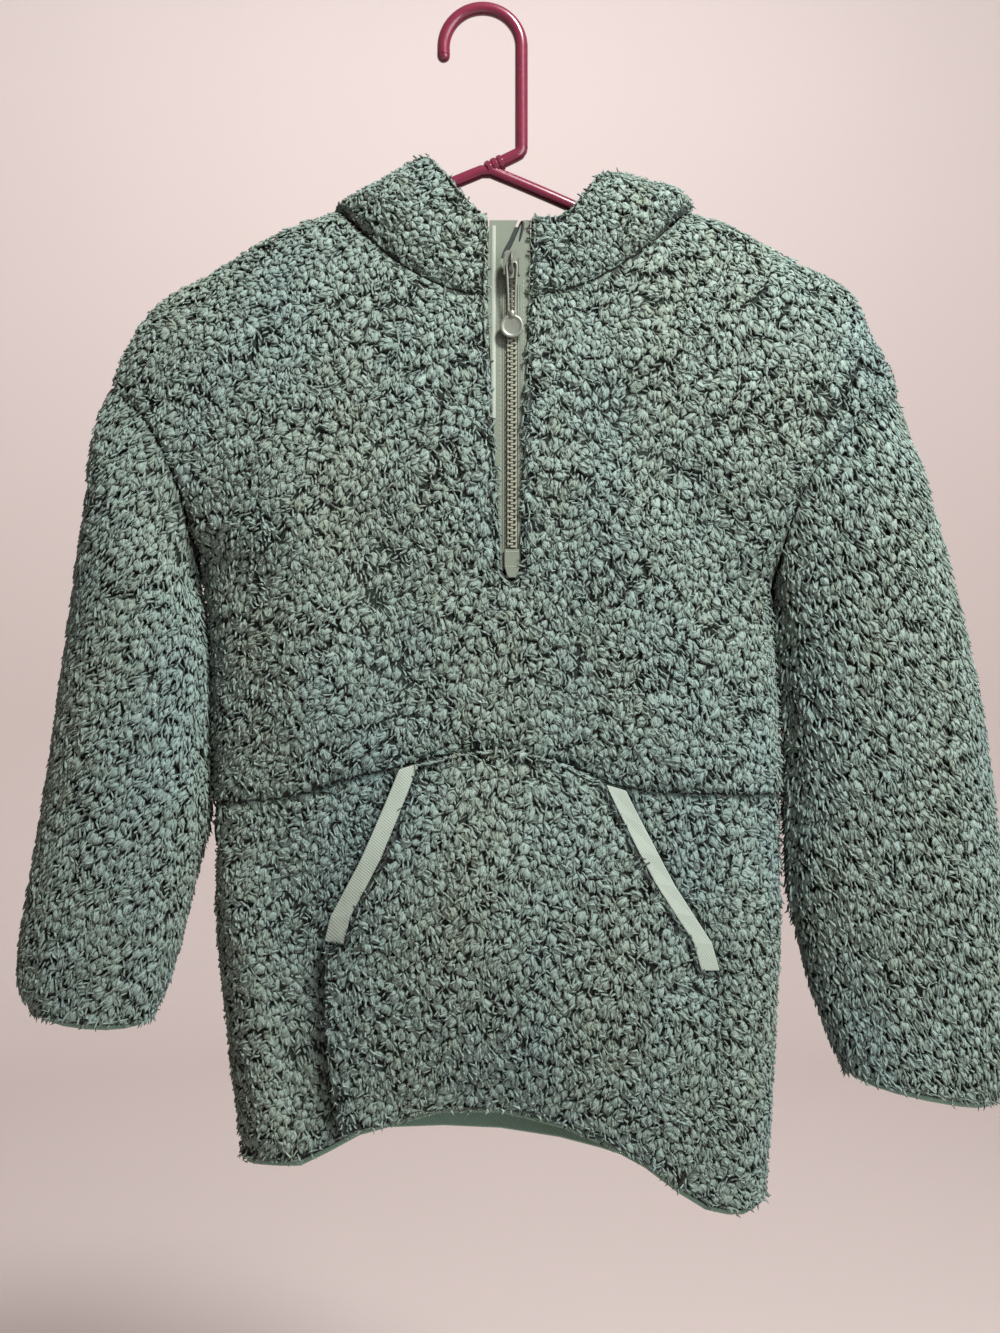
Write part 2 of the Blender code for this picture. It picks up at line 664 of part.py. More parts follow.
# ---------------------------------------------------------------- tubes, blocks and joins
def tube_mesh(name, points, diameter, sides_bevel=3, cyclic=False):
    """A round tube along points, as a welded mesh object that can be joined or cut."""
    curve = bpy.data.curves.new(name, "CURVE")
    curve.dimensions = "3D"
    curve.bevel_depth = diameter / 2 * MM
    curve.bevel_resolution = sides_bevel
    curve.use_fill_caps = True
    spline = curve.splines.new("POLY")
    spline.points.add(len(points) - 1)
    for target, point in zip(spline.points, points):
        target.co = (*(point * MM), 1)
    spline.use_cyclic_u = cyclic
    holder = bpy.data.objects.new(name, curve)
    bpy.context.scene.collection.objects.link(holder)
    graph = bpy.context.evaluated_depsgraph_get()
    mesh = bpy.data.meshes.new_from_object(holder.evaluated_get(graph))
    bpy.data.objects.remove(holder)
    tool = bmesh.new()
    tool.from_mesh(mesh)
    bmesh.ops.remove_doubles(tool, verts=tool.verts, dist=1e-6)
    bmesh.ops.recalc_face_normals(tool, faces=tool.faces)
    tool.to_mesh(mesh)
    tool.free()
    return mesh


def helper(name, mesh):
    """A cutter or a piece to be joined: it stays out of the render."""
    made = bpy.data.objects.new(name, mesh)
    made.hide_render = True
    made.display_type = "WIRE"
    bpy.data.collections[CUTTERS].objects.link(made)
    return made


def block_mesh(size, centre, rotation=None, bevel=0.0):
    tool = bmesh.new()
    bmesh.ops.create_cube(tool, size=1.0)
    bmesh.ops.scale(tool, vec=Vector(size) * MM, verts=tool.verts)
    if bevel:
        bmesh.ops.bevel(tool, geom=tool.edges, offset=bevel * MM, segments=2, affect="EDGES")
    if rotation:
        bmesh.ops.rotate(tool, matrix=rotation, verts=tool.verts)
    bmesh.ops.translate(tool, vec=Vector(centre) * MM, verts=tool.verts)
    mesh = bpy.data.meshes.new("block")
    tool.to_mesh(mesh)
    tool.free()
    return mesh


def disc_mesh(diameter, thick, centre, rotation, sides_round=28):
    tool = bmesh.new()
    bmesh.ops.create_cone(tool, cap_ends=True, segments=sides_round, radius1=diameter / 2 * MM,
                          radius2=diameter / 2 * MM, depth=thick * MM)
    bmesh.ops.rotate(tool, matrix=rotation, verts=tool.verts)
    bmesh.ops.translate(tool, vec=Vector(centre) * MM, verts=tool.verts)
    mesh = bpy.data.meshes.new("disc")
    tool.to_mesh(mesh)
    tool.free()
    return mesh


def combine(base, operation, other):
    step = base.modifiers.new(operation.lower() + "_" + other.name, "BOOLEAN")
    step.operation = operation
    step.solver = "EXACT"
    step.object = other


# ---------------------------------------------------------------- sub-parts
COLLECTION = "sherpa_pullover"
CUTTERS = "cutters"


def build_cloth():
    """The sewn panels, and the bindings that finish their open ends."""
    sleeves = {
        "sleeve_left": sleeve_rows(-1, LEFT_SLEEVE),
        "sleeve_right": sleeve_rows(1, RIGHT_SLEEVE),
    }
    panels = [
        Panel("front_upper", [body_grid(0, WAIST, side, True) for side in (-1, 1)], "sherpa_green"),
        Panel("front_lower", [body_grid(WAIST, HEM, side, True) for side in (-1, 1)], "sherpa_green"),
        Panel("back", [body_grid(0, HEM, side, False) for side in (-1, 1)], "sherpa_green"),
        Panel("hood_left", [hood_grid(-1, LEFT_HOOD)], "sherpa_green"),
        Panel("hood_right", [hood_grid(1, RIGHT_HOOD)], "sherpa_green"),
    ]
    for name, rows in sleeves.items():
        panels += [
            Panel(name + "_upper", [rows[:SLEEVE_HALVES + 1]], "sherpa_green"),
            Panel(name + "_lower", [rows[SLEEVE_HALVES:]], "sherpa_green"),
        ]
    seam_normals = seam_normals_of(panels)
    for panel in panels:
        panel.thicken(seam_normals)

    pouch = Panel(
        "pocket",
        [
            pocket_grid(0, POCKET_ROWS, 1, POCKET_COLUMNS - 1),
            pocket_grid(POCKET_MOUTH_ROW, POCKET_ROWS, 0, 1),
            pocket_grid(POCKET_MOUTH_ROW, POCKET_ROWS, POCKET_COLUMNS - 1, POCKET_COLUMNS),
        ],
        "sherpa_green",
        wall=POCKET_WALL,
    )
    trims = [
        Panel(name, [pocket_grid(0, POCKET_MOUTH_ROW, column, column + 1)], "smooth_binding",
              wall=2.6, sunk=1.6)
        for name, column in (("pocket_binding_left", 0), ("pocket_binding_right", POCKET_COLUMNS - 1))
    ]
    pocket_normals = seam_normals_of([pouch] + trims)
    for panel in [pouch] + trims:
        panel.thicken(pocket_normals)

    hem_loop, above_hem = [
        [body_point(ring, -1, column, True) for column in range(COLUMNS)]
        + [body_point(ring, 1, column, True) for column in range(COLUMNS, -1, -1)]
        + [body_point(ring, 1, column, False) for column in range(1, COLUMNS)]
        + [body_point(ring, -1, column, False) for column in range(COLUMNS, 0, -1)]
        for ring in (HEM, HEM - 1)
    ]
    swept("hem_binding", loop_frames(hem_loop, above_hem, seam_normals, Panel.place),
          BINDING_SECTION, True, "knit_binding")
    for name, rows in sleeves.items():
        frames = loop_frames(rows[-1][:-1], rows[-2][:-1], seam_normals, Panel.place)
        swept(name.replace("sleeve", "cuff_binding"), frames, BINDING_SECTION, True, "knit_binding")


def build_zip():
    """The half zip: two tapes, the closed chain, the end tab, the slider and its hanging pull."""
    for name, side in (("zip_tape_left", -1), ("zip_tape_right", 1)):
        tape = Panel(name, [tape_grid(side)], "zip_tape", wall=TAPE)
        tape.thicken(seam_normals_of([tape]))
    bar_along_zip("zip_chain", CHAIN_TOP, CHAIN_BOTTOM, CHAIN_WIDTH, CHAIN_THICK, 0.3, "zip_plastic", 14)
    bar_along_zip("zip_end_tab", CHAIN_BOTTOM - 0.4, ZIP_FOOT_Z, 9.0, 1.8, 0.3, "zip_tape", 3)

    chain_face = zip_surface_y(SLIDER_Z) + ZIP_RECESS - 0.3 - CHAIN_THICK
    width, thick, height = SLIDER_SIZE
    back_y = chain_face - 1.4
    slider = add_object("zip_slider", block_mesh(
        SLIDER_SIZE, (ZIP_X, back_y - thick / 2, SLIDER_Z), bevel=0.9), "zip_plastic")
    pivot = Vector((ZIP_X, back_y - thick - 1.5, SLIDER_Z + 1.0))
    bridge = [
        Vector((ZIP_X, back_y - thick + 0.9, pivot.z + 5.2)),
        Vector((ZIP_X, back_y - thick - 1.7, pivot.z + 4.4)),
        Vector((ZIP_X, back_y - thick - 3.6, pivot.z + 2.0)),
        Vector((ZIP_X, back_y - thick - 3.6, pivot.z - 2.0)),
        Vector((ZIP_X, back_y - thick - 1.7, pivot.z - 4.4)),
        Vector((ZIP_X, back_y - thick + 0.9, pivot.z - 5.2)),
    ]
    combine(slider, "UNION", helper("slider_bridge", tube_mesh("bridge", bridge, 1.5, 2)))

    foot = pivot - Vector((0, 0, PULL_LENGTH - PULL_DISC_DIAMETER / 2 + 1.0))
    link = [
        foot + Vector((-1.6, 0, 0)),
        mix(foot, pivot, 0.5) + Vector((-2.6, 0, 0)),
        pivot + Vector((-3.0, 0, -2.0)),
        pivot + Vector((-2.2, 0, 0)),
        pivot + Vector((2.2, 0, 0)),
        pivot + Vector((3.0, 0, -2.0)),
        mix(foot, pivot, 0.5) + Vector((2.6, 0, 0)),
        foot + Vector((1.6, 0, 0)),
    ]
    facing = Matrix.Rotation(math.radians(90), 3, "X")
    centre = pivot - Vector((0, 0, PULL_LENGTH))
    pull = add_object("zip_pull", disc_mesh(
        PULL_DISC_DIAMETER, PULL_DISC_THICK, centre, facing), "zip_plastic")
    combine(pull, "UNION", helper("pull_link", tube_mesh("link", link, PULL_WIRE, 2)))


def arm_point(reach):
    """The middle of the hanger's tube at a distance to either side of its apex."""
    x, z = HANGER_APEX
    return Vector((x + reach, 0, z - ARM_SLOPE * abs(reach) - ARM_CURVE * reach**2))


def build_hanger():
    """One moulded piece: hook, stem, two sloping arms and the bar that closes them."""
    centre_x, centre_z = HOOK_CENTRE
    stem_x = centre_x + HOOK_RADIUS
    hook = [Vector((centre_x - HOOK_RADIUS, 0, HOOK_TIP_Z))]
    for i in range(19):
        angle = math.pi * (1 - i / 18)
        hook.append(Vector((centre_x + HOOK_RADIUS * math.cos(angle), 0,
                            centre_z + HOOK_RADIUS * math.sin(angle))))
    apex = Vector((HANGER_APEX[0], 0, HANGER_APEX[1]))
    bend = Vector((stem_x, 0, STEM_BEND_Z))
    to_apex = (apex - bend).normalized()
    hook += [
        Vector((stem_x, 0, -50.0)),
        bend + Vector((0, 0, 3.0)),
        bend + Vector((-0.5, 0, 0.9)),
        bend + to_apex * 3.0,
        mix(bend, apex, 0.6),
        apex,
    ]
    body = add_object("hanger", tube_mesh("hook", hook, HANGER_TUBE), "hanger_plastic")

    frame = [arm_point(reach) for reach in np.linspace(0, ARM_REACH, 13)]
    end = frame[-1]
    frame += [
        Vector((end.x + 4.2, 0, end.z - 4.6)),
        Vector((end.x + 5.2, 0, end.z - 10.0)),
        Vector((end.x + 2.2, 0, mix(end.z, HANGER_BAR_Z, 0.86))),
        Vector((end.x - 4.5, 0, HANGER_BAR_Z)),
        Vector((mix(end.x, apex.x, 0.5), 0, HANGER_BAR_Z)),
        Vector((apex.x, 0, HANGER_BAR_Z)),
    ]
    mirrored = [Vector((2 * apex.x - point.x, 0, point.z)) for point in frame[-2:0:-1]]
    combine(body, "UNION", helper("hanger_frame", tube_mesh(
        "frame", frame + mirrored, HANGER_TUBE, cyclic=True)))

    diameter, length = HANGER_COLLAR
    turn = Matrix.Rotation(math.atan2(to_apex.x, to_apex.z), 3, "Y")
    spot = apex - to_apex * 9.0
    combine(body, "UNION", helper("hanger_collar", disc_mesh(diameter, length, spot, turn, 16)))
    tip = bpy.data.meshes.new("tip")
    tool = bmesh.new()
    bmesh.ops.create_uvsphere(tool, u_segments=12, v_segments=8, radius=HANGER_TUBE / 2 * MM * 0.99)
    bmesh.ops.translate(tool, vec=hook[0] * MM, verts=tool.verts)
    tool.to_mesh(tip)
    tool.free()
    combine(body, "UNION", helper("hook_tip", tip))


def clear_scene():
    for old in list(bpy.data.objects):
        bpy.data.objects.remove(old)


def main():
    clear_scene()
    for name in (COLLECTION, CUTTERS):
        bpy.context.scene.collection.children.link(bpy.data.collections.new(name))
    build_cloth()
    build_zip()
    build_hanger()


main()
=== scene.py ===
"""Looks for the sherpa fleece pullover and the plastic hanger it hangs on.

Every cloth panel takes its form from its solid: a knitted ground a little under the solid's outside, and
curled locks of pile that grow from it and reach the solid's outside. Metres, +Z up, front towards -Y.
"""

import json
import logging
import math
from dataclasses import dataclass, field
from enum import Enum
from typing import Callable, Iterable, Sequence

import bmesh
import bpy
import numpy as np
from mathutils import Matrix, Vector
from mathutils.bvhtree import BVHTree
from mathutils.kdtree import KDTree


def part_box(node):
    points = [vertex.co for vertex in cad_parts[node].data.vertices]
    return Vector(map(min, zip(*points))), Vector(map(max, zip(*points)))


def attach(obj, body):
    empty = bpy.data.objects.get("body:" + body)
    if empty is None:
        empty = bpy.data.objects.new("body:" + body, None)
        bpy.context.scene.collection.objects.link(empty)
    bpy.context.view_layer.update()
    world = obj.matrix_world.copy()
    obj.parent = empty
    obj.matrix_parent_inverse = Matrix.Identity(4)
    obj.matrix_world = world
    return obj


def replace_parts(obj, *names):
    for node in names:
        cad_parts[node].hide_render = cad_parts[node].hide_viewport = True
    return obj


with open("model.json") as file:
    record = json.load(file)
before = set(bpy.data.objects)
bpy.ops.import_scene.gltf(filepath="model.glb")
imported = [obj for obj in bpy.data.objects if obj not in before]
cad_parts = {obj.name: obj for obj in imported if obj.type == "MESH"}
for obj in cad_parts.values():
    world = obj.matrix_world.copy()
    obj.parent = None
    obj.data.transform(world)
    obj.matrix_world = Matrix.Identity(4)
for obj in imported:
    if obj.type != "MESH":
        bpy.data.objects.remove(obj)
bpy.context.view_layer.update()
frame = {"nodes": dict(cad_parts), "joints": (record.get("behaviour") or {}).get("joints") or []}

MM = 0.001
LOG = logging.getLogger("pullover")
NEARBY = 4.0 * MM

Colour = tuple[float, float, float]
Place = tuple[float, float, float]
Field = Callable[[np.ndarray], np.ndarray]


# ---------------------------------------------------------------- shader graphs
class Signal:
    """A shader socket whose arithmetic adds Math nodes to its graph."""

    def __init__(self, graph: "Graph", socket: bpy.types.NodeSocket) -> None:
        """Wraps one output socket.

        Args:
            graph: The graph that the socket is in.
            socket: The output socket.
        """
        self.graph = graph
        self.socket = socket

    def _math(self, operation: str, first: object, second: object) -> "Signal":
        """Adds one Math node.

        Args:
            operation: The Math node's operation.
            first: Its first value or link.
            second: Its second value or link.

        Returns:
            The node's result.
        """
        return self.graph.node("ShaderNodeMath", {"operation": operation}, {0: first, 1: second})[0]

    def __add__(self, other: object) -> "Signal":
        """This plus other."""
        return self._math("ADD", self, other)

    def __radd__(self, other: object) -> "Signal":
        """Other plus this."""
        return self._math("ADD", other, self)

    def __sub__(self, other: object) -> "Signal":
        """This minus other."""
        return self._math("SUBTRACT", self, other)

    def __rsub__(self, other: object) -> "Signal":
        """Other minus this."""
        return self._math("SUBTRACT", other, self)

    def __mul__(self, other: object) -> "Signal":
        """This times other."""
        return self._math("MULTIPLY", self, other)

    def __rmul__(self, other: object) -> "Signal":
        """Other times this."""
        return self._math("MULTIPLY", other, self)


class Mixing(Enum):
    """How the second of two colours acts on the first."""

    BLEND = "MIX"
    MULTIPLY = "MULTIPLY"


class Run(Enum):
    """Which way bands run."""

    UPRIGHT = "X"
    DIAGONAL = "DIAGONAL"


def spaced(values: dict[str, object]) -> dict[str, object]:
    """The same values, under names with a space for each _."""
    return {name.replace("_", " "): value for name, value in values.items()}


class Graph:
    """One material's node graph, built in a maker's order: nodes first, then what they feed."""

    def __init__(self, name: str) -> None:
        """Starts a material with only its output.

        Args:
            name: The material's name.
        """
        self.material = bpy.data.materials.new(name)
        self.material.use_nodes = True
        self.tree = self.material.node_tree
        self.tree.nodes.clear()

    def node(self, kind: str, settings: dict[str, object], inputs: dict[object, object]) -> list[Signal]:
        """Adds a node of any type.

        Args:
            kind: The node's type, such as ShaderNodeTexNoise.
            settings: Properties set before the sockets. A ramp's stops come as "stops".
            inputs: Values or Signals by socket name or number. A colour comes as three numbers.

        Returns:
            The node's outputs.
        """
        made = self.tree.nodes.new(kind)
        for key, value in settings.items():
            if key == "stops":
                self._stops(made.color_ramp, value)
            else:
                setattr(made, key, value)
        for key, value in inputs.items():
            socket = made.inputs[key]
            if isinstance(value, Signal):
                self.tree.links.new(value.socket, socket)
            else:
                socket.default_value = (*value, 1.0) if socket.type == "RGBA" else value
        return [Signal(self, socket) for socket in made.outputs]

    @staticmethod
    def _stops(ramp: bpy.types.ColorRamp, stops: Sequence[tuple[float, Colour]]) -> None:
        """Sets a ramp's stops.

        Args:
            ramp: The ramp.
            stops: A place and a colour for each stop.
        """
        while len(ramp.elements) < len(stops):
            ramp.elements.new(1.0)
        for element, (place, colour) in zip(ramp.elements, stops):
            element.position = place
            element.color = (*colour, 1.0)

    def attribute(self, name: str) -> Signal:
        """A number that the mesh holds under a name."""
        return self.node("ShaderNodeAttribute", {"attribute_name": name}, {})[2]

    def places(self) -> Signal:
        """The object's own coordinates, in metres."""
        return self.node("ShaderNodeTexCoord", {}, {})[3]

    def stretched(self, scale: tuple[float, float, float], turn: float = 0.0) -> Signal:
        """The object's coordinates, scaled along each axis and turned about Y.

        Args:
            scale: The scale along each axis.
            turn: The turn in radians.

        Returns:
            The coordinates.
        """
        return self.node("ShaderNodeMapping", {}, {
            "Vector": self.places(), "Scale": scale, "Rotation": (0.0, turn, 0.0)})[0]

    def noise(self, scale: float, detail: float, rough: float = 0.5, where: Signal | None = None) -> Signal:
        """A noise of one size over the surface.

        Args:
            scale: Cycles to the metre.
            detail: How many finer octaves it has.
            rough: How strong they are.
            where: The coordinates it is read at.

        Returns:
            The noise, round 0.5.
        """
        return self.node("ShaderNodeTexNoise", {}, {
            "Vector": where or self.places(), "Scale": scale, "Detail": detail, "Roughness": rough})[0]

    def ramp(self, value: Signal, stops: Sequence[tuple[float, Colour]]) -> Signal:
        """A colour read from stops.

        Args:
            value: Where on the ramp.
            stops: A place and a colour for each stop.

        Returns:
            The colour.
        """
        return self.node("ShaderNodeValToRGB", {"stops": stops}, {0: value})[0]

    def blend(self, share: object, low: object, high: object, kind: Mixing = Mixing.BLEND) -> Signal:
        """A mix of two colours.

        Args:
            share: How much of the second one.
            low: The first colour or link.
            high: The second colour or link.
            kind: How the second one acts on the first.

        Returns:
            The mixed colour.
        """
        return self.node("ShaderNodeMix", {"data_type": "RGBA", "blend_type": kind.value},
                         {0: share, 6: low, 7: high})[2]

    def bands(self, run: Run, scale: float, distortion: float, where: Signal | None = None,
              **more: float) -> Signal:
        """Parallel bands over the surface.

        Args:
            run: Which way they run.
            scale: The Wave node's scale.
            distortion: How crooked they are.
            where: The coordinates they are read at.
            more: Values of the node's other sockets, with _ for a space.

        Returns:
            The bands, from 0 to 1.
        """
        inputs = {"Vector": where or self.places(), "Scale": scale, "Distortion": distortion}
        return self.node("ShaderNodeTexWave", {"wave_type": "BANDS", "bands_direction": run.value},
                         inputs | spaced(more))[1]

    def relief(self, height: Signal, depth: float, strength: float) -> Signal:
        """A bumped normal.

        Args:
            height: The height, from 0 to 1.
            depth: How deep 1 is, in metres.
            strength: How strong the bump is.

        Returns:
            The normal.
        """
        return self.node("ShaderNodeBump", {}, {"Height": height, "Distance": depth, "Strength": strength})[0]

    def surface(self, colour: object, roughness: object, normal: Signal | None = None,
                **constants: object) -> bpy.types.Material:
        """Ends the graph with a Principled shader.

        Args:
            colour: The base colour or its link.
            roughness: The roughness or its link.
            normal: The bumped normal.
            constants: Values set on the shader's own sockets, with _ for a space.

        Returns:
            The material.
        """
        inputs = {"Base Color": colour, "Roughness": roughness} | spaced(constants)
        if normal is not None:
            inputs["Normal"] = normal
        shader = self.node("ShaderNodeBsdfPrincipled", {}, inputs)[0]
        self.node("ShaderNodeOutputMaterial", {}, {0: shader})
        return self.material


# ---------------------------------------------------------------- finishes
@dataclass(frozen=True)
class SherpaPile:
    """Curled fleece: painted shade between the locks, a pale, slightly blue painted highlight at their tips,
    and fine strands with painted shade and highlight among them.
    """

    # root and deep are painted shade, tip is a painted highlight and shadow is painted shade between strands;
    # body, olive and teal are the fleece's own colours.
    root: Colour = (0.016, 0.022, 0.019)
    deep: Colour = (0.15, 0.17, 0.16)
    body: Colour = (0.122, 0.176, 0.150)
    tip: Colour = (0.250, 0.322, 0.288)
    olive: Colour = (0.148, 0.178, 0.128)
    teal: Colour = (0.092, 0.166, 0.178)
    shadow: Colour = (0.50, 0.53, 0.52)

    def material(self) -> bpy.types.Material:
        """The locks' material, which reads each lock's own tone, its strands, and the painted light that each
        point carries as tip: rising from root to tip, lower between clumps and near seams.

        Returns:
            The material.
        """
        g = Graph("sherpa_pile")
        # along is the painted light that the pile mesh carries as tip.
        along, tone = g.attribute("tip"), g.attribute("tone")
        place = g.node("ShaderNodeAttribute", {"attribute_name": "strand"}, {})[1]
        strands = g.noise(1050.0, 2.0, 0.6, place)
        patch = g.noise(17.0, 1.0, 0.5, g.stretched((1.0, 1.0, 0.4)))
        hue = g.ramp(patch * 0.7 + tone * 0.3, ((0.30, self.olive), (0.50, self.body), (0.68, self.teal)))
        # Painted highlight: the pale tip colour grows with the painted light.
        lit = g.blend(along * along * (tone * 0.7 + 0.25), g.blend(0.9, self.body, hue), self.tip)
        # Painted shade between the strands, and a painted highlight on them.
        fine = g.ramp(strands, ((0.34, self.shadow), (0.48, (0.90, 0.90, 0.90)), (0.64, (1.15, 1.15, 1.14))))
        # Painted shade: near black where the painted light is low, at the locks' roots, in the cracks between
        # clumps and at seams.
        shade = g.ramp(along, ((0.0, self.root), (0.42, self.deep), (0.68, (0.70, 0.72, 0.71)),
                               (1.0, (1.0, 1.0, 1.0))))
        colour = g.blend(1.0, g.blend(1.0, lit, fine, Mixing.MULTIPLY), shade, Mixing.MULTIPLY)
        return g.surface(colour, 0.84, g.relief(strands, 0.0011, 0.9), Sheen_Weight=0.12,
                         Sheen_Roughness=0.45, Specular_IOR_Level=0.25)


@dataclass(frozen=True)
class KnitGround:
    """The pile's knitted ground: painted nearly black-green outside, as painted shade between the locks;
    smooth jersey on the inside.
    """

    # dark and dusk are painted shade between the locks; face and pale are the jersey's own colours.
    dark: Colour = (0.006, 0.011, 0.008)
    dusk: Colour = (0.011, 0.018, 0.014)
    face: Colour = (0.115, 0.160, 0.115)
    pale: Colour = (0.160, 0.205, 0.150)
    wale: float = 1.3 * MM

    def material(self) -> bpy.types.Material:
        """The ground's material, which reads whether a point is on the outside.

        Returns:
            The material.
        """
        g = Graph("knit_ground")
        out = g.attribute("outside")
        ribs = g.bands(Run.UPRIGHT, 0.31 / self.wale, 1.5, Detail=1.0, Detail_Scale=3.0)
        fluff = g.noise(260.0, 4.0, 0.65)
        jersey = g.blend(fluff * 0.6 + ribs * 0.3, self.face, self.pale)
        # Painted shade: the outside is nearly black; the inside keeps the jersey's colours.
        colour = g.blend(out, jersey, g.blend(fluff, self.dark, self.dusk))
        normal = g.relief(ribs * 0.4 + fluff * 0.6, 0.0005, 0.6)
        return g.surface(colour, 0.9, normal, Sheen_Weight=0.2, Specular_IOR_Level=0.2)


@dataclass(frozen=True)
class KnitBinding:
    """Fine stretch knit: narrow wales across the band."""

    shade: Colour = (0.095, 0.165, 0.125)
    face: Colour = (0.180, 0.290, 0.228)

    def material(self) -> bpy.types.Material:
        """The band's material.

        Returns:
            The material.
        """
        g = Graph("knit_binding")
        rows = g.bands(Run.DIAGONAL, 260.0, 2.0, g.stretched((1.0, 0.3, 1.0)), Detail=2.0)
        fuzz = g.noise(700.0, 3.0)
        colour = g.blend(rows * 0.5 + fuzz * 0.5, self.shade, self.face)
        return g.surface(colour, 0.85, g.relief(rows * 0.7 + fuzz * 0.3, 0.0004, 0.6),
                         Sheen_Weight=0.2, Specular_IOR_Level=0.25)


@dataclass(frozen=True)
class SmoothBinding:
    """Pale smooth binding with a faint twill."""

    shade: Colour = (0.180, 0.222, 0.187)
    face: Colour = (0.294, 0.352, 0.303)

    def material(self) -> bpy.types.Material:
        """The band's material.

        Returns:
            The material.
        """
        g = Graph("smooth_binding")
        twill = g.bands(Run.DIAGONAL, 330.0, 0.6, Detail=1.0)
        cloud = g.noise(60.0, 3.0)
        colour = g.blend(twill * 0.35 + cloud * 0.65, self.shade, self.face)
        return g.surface(colour, 0.72, g.relief(twill, 0.00018, 0.5), Sheen_Weight=0.25,
                         Specular_IOR_Level=0.3)


@dataclass(frozen=True)
class WovenTape:
    """Zip tape: a close herringbone, a little darker where it is handled."""

    shade: Colour = (0.092, 0.110, 0.086)
    face: Colour = (0.165, 0.193, 0.154)
    name: str = "woven_tape"
    lean: float = 38.0

    def material(self) -> bpy.types.Material:
        """The tape's material.

        Returns:
            The material.
        """
        g = Graph(self.name)
        rising, falling = (g.bands(Run.UPRIGHT, 340.0, 0.4, g.stretched((1.0, 1.0, 1.0), math.radians(turn)))
                           for turn in (self.lean, -self.lean))
        weave = rising * 0.5 + falling * 0.5
        worn = g.noise(45.0, 3.0)
        colour = g.blend(weave * 0.5 + worn * 0.5, self.shade, self.face)
        return g.surface(colour, 0.8, g.relief(weave, 0.0002, 0.6), Specular_IOR_Level=0.25)


@dataclass(frozen=True)
class Moulded:
    """Moulded or painted hard stuff: faint flow and scuffs in its gloss."""

    name: str
    face: Colour
    shade: Colour
    rough: float
    coat: float = 0.0
    grain: float = 90.0
    metal: float = 0.0

    def material(self) -> bpy.types.Material:
        """The finish's material.

        Returns:
            The material.
        """
        g = Graph(self.name)
        flow, fine = g.noise(self.grain, 3.0), g.noise(self.grain * 9.0, 2.0)
        colour = g.blend(flow, self.shade, self.face)
        normal = g.relief(flow * 0.6 + fine * 0.4, 0.00012, 0.35)
        return g.surface(colour, fine * 0.12 + (self.rough - 0.05), normal, Coat_Weight=self.coat,
                         Coat_Roughness=0.12, Metallic=self.metal)


@dataclass(frozen=True)
class Thread:
    """Sewing thread: twisted, matt."""

    face: Colour = (0.270, 0.315, 0.265)

    def material(self) -> bpy.types.Material:
        """The thread's material.

        Returns:
            The material.
        """
        g = Graph("sewing_thread")
        twist = g.noise(1800.0, 1.0)
        return g.surface(g.blend(twist, tuple(c * 0.6 for c in self.face), self.face), 0.7,
                         g.relief(twist, 0.0002, 0.4))


@dataclass(frozen=True)
class PaleFloor:
    """The studio's floor and backdrop."""

    face: Colour = (0.63, 0.560, 0.540)

    def material(self) -> bpy.types.Material:
        """A plain matt paint.

        Returns:
            The material.
        """
        g = Graph("pale_floor")
        cloud = g.noise(1.5, 3.0)
        return g.surface(g.blend(cloud, tuple(c * 0.96 for c in self.face), self.face), 0.9)


# ---------------------------------------------------------------- meshes
def rounded(vectors: np.ndarray) -> np.ndarray:
    """Each row of vectors at length 1."""
    return vectors / np.maximum(np.linalg.norm(vectors, axis=-1, keepdims=True), 1e-12)


def ramped(value: np.ndarray, low: float, high: float) -> np.ndarray:
    """0 below low, 1 above high, and a smooth step between."""
    share = np.clip((value - low) / (high - low), 0.0, 1.0)
    return share * share * (3 - 2 * share)


def band(low: Sequence[int], high: Sequence[int]) -> list[list[int]]:
    """The faces between two closed rows of vertices, where a row may be one vertex again and again.

    Args:
        low: The vertices of one row.
        high: The vertices of the next row.

    Returns:
        The faces, four-sided or three-sided.
    """
    number = len(low)
    found = [list(dict.fromkeys([low[k], low[(k + 1) % number], high[(k + 1) % number], high[k]]))
             for k in range(number)]
    return [face for face in found if len(face) > 2]


def dish(rings: int, around: int) -> list[list[int]]:
    """The faces of a round sheet: a fan round vertex 0, then bands out to each further ring.

    Args:
        rings: How many rings of vertices lie round vertex 0.
        around: How many vertices each ring has.

    Returns:
        The faces.
    """
    faces = [[0, 1 + k, 1 + (k + 1) % around] for k in range(around)]
    for inner in range(1, 1 + (rings - 1) * around, around):
        faces += [[inner + k, inner + around + k, inner + around + (k + 1) % around, inner + (k + 1) % around]
                  for k in range(around)]
    return faces


def mesh_object(name: str, points: np.ndarray, corners: np.ndarray, sizes: np.ndarray,
                material: bpy.types.Material, body: str = "garment",
                numbers: dict[str, np.ndarray] | None = None) -> bpy.types.Object:
    """Makes a smooth-shaded mesh object that rides on a body.

    Args:
        name: The piece's name.
        points: Its vertices, in metres.
        corners: The vertex numbers of its faces, one face after another.
        sizes: How many corners each face has.
        material: Its material.
        body: The body it rides on.
        numbers: Values for each vertex, by name.

    Returns:
        The object.
    """
    mesh = bpy.data.meshes.new(name)
    mesh.vertices.add(len(points))
    mesh.vertices.foreach_set("co", np.ascontiguousarray(points, np.float32).ravel())
    mesh.loops.add(len(corners))
    mesh.loops.foreach_set("vertex_index", np.ascontiguousarray(corners, np.int32))
    starts = np.concatenate([[0], np.cumsum(sizes)[:-1]]).astype(np.int32)
    mesh.polygons.add(len(sizes))
    mesh.polygons.foreach_set("loop_start", starts)
    for key, values in (numbers or {}).items():
        layer = mesh.attributes.new(key, "FLOAT", "POINT")
        layer.data.foreach_set("value", np.ascontiguousarray(values, np.float32))
    mesh.update(calc_edges=True)
    mesh.validate()
    mesh.shade_smooth()
    mesh.materials.append(material)
    made = bpy.data.objects.new(name, mesh)
    bpy.context.scene.collection.objects.link(made)
    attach(made, body)
    return made


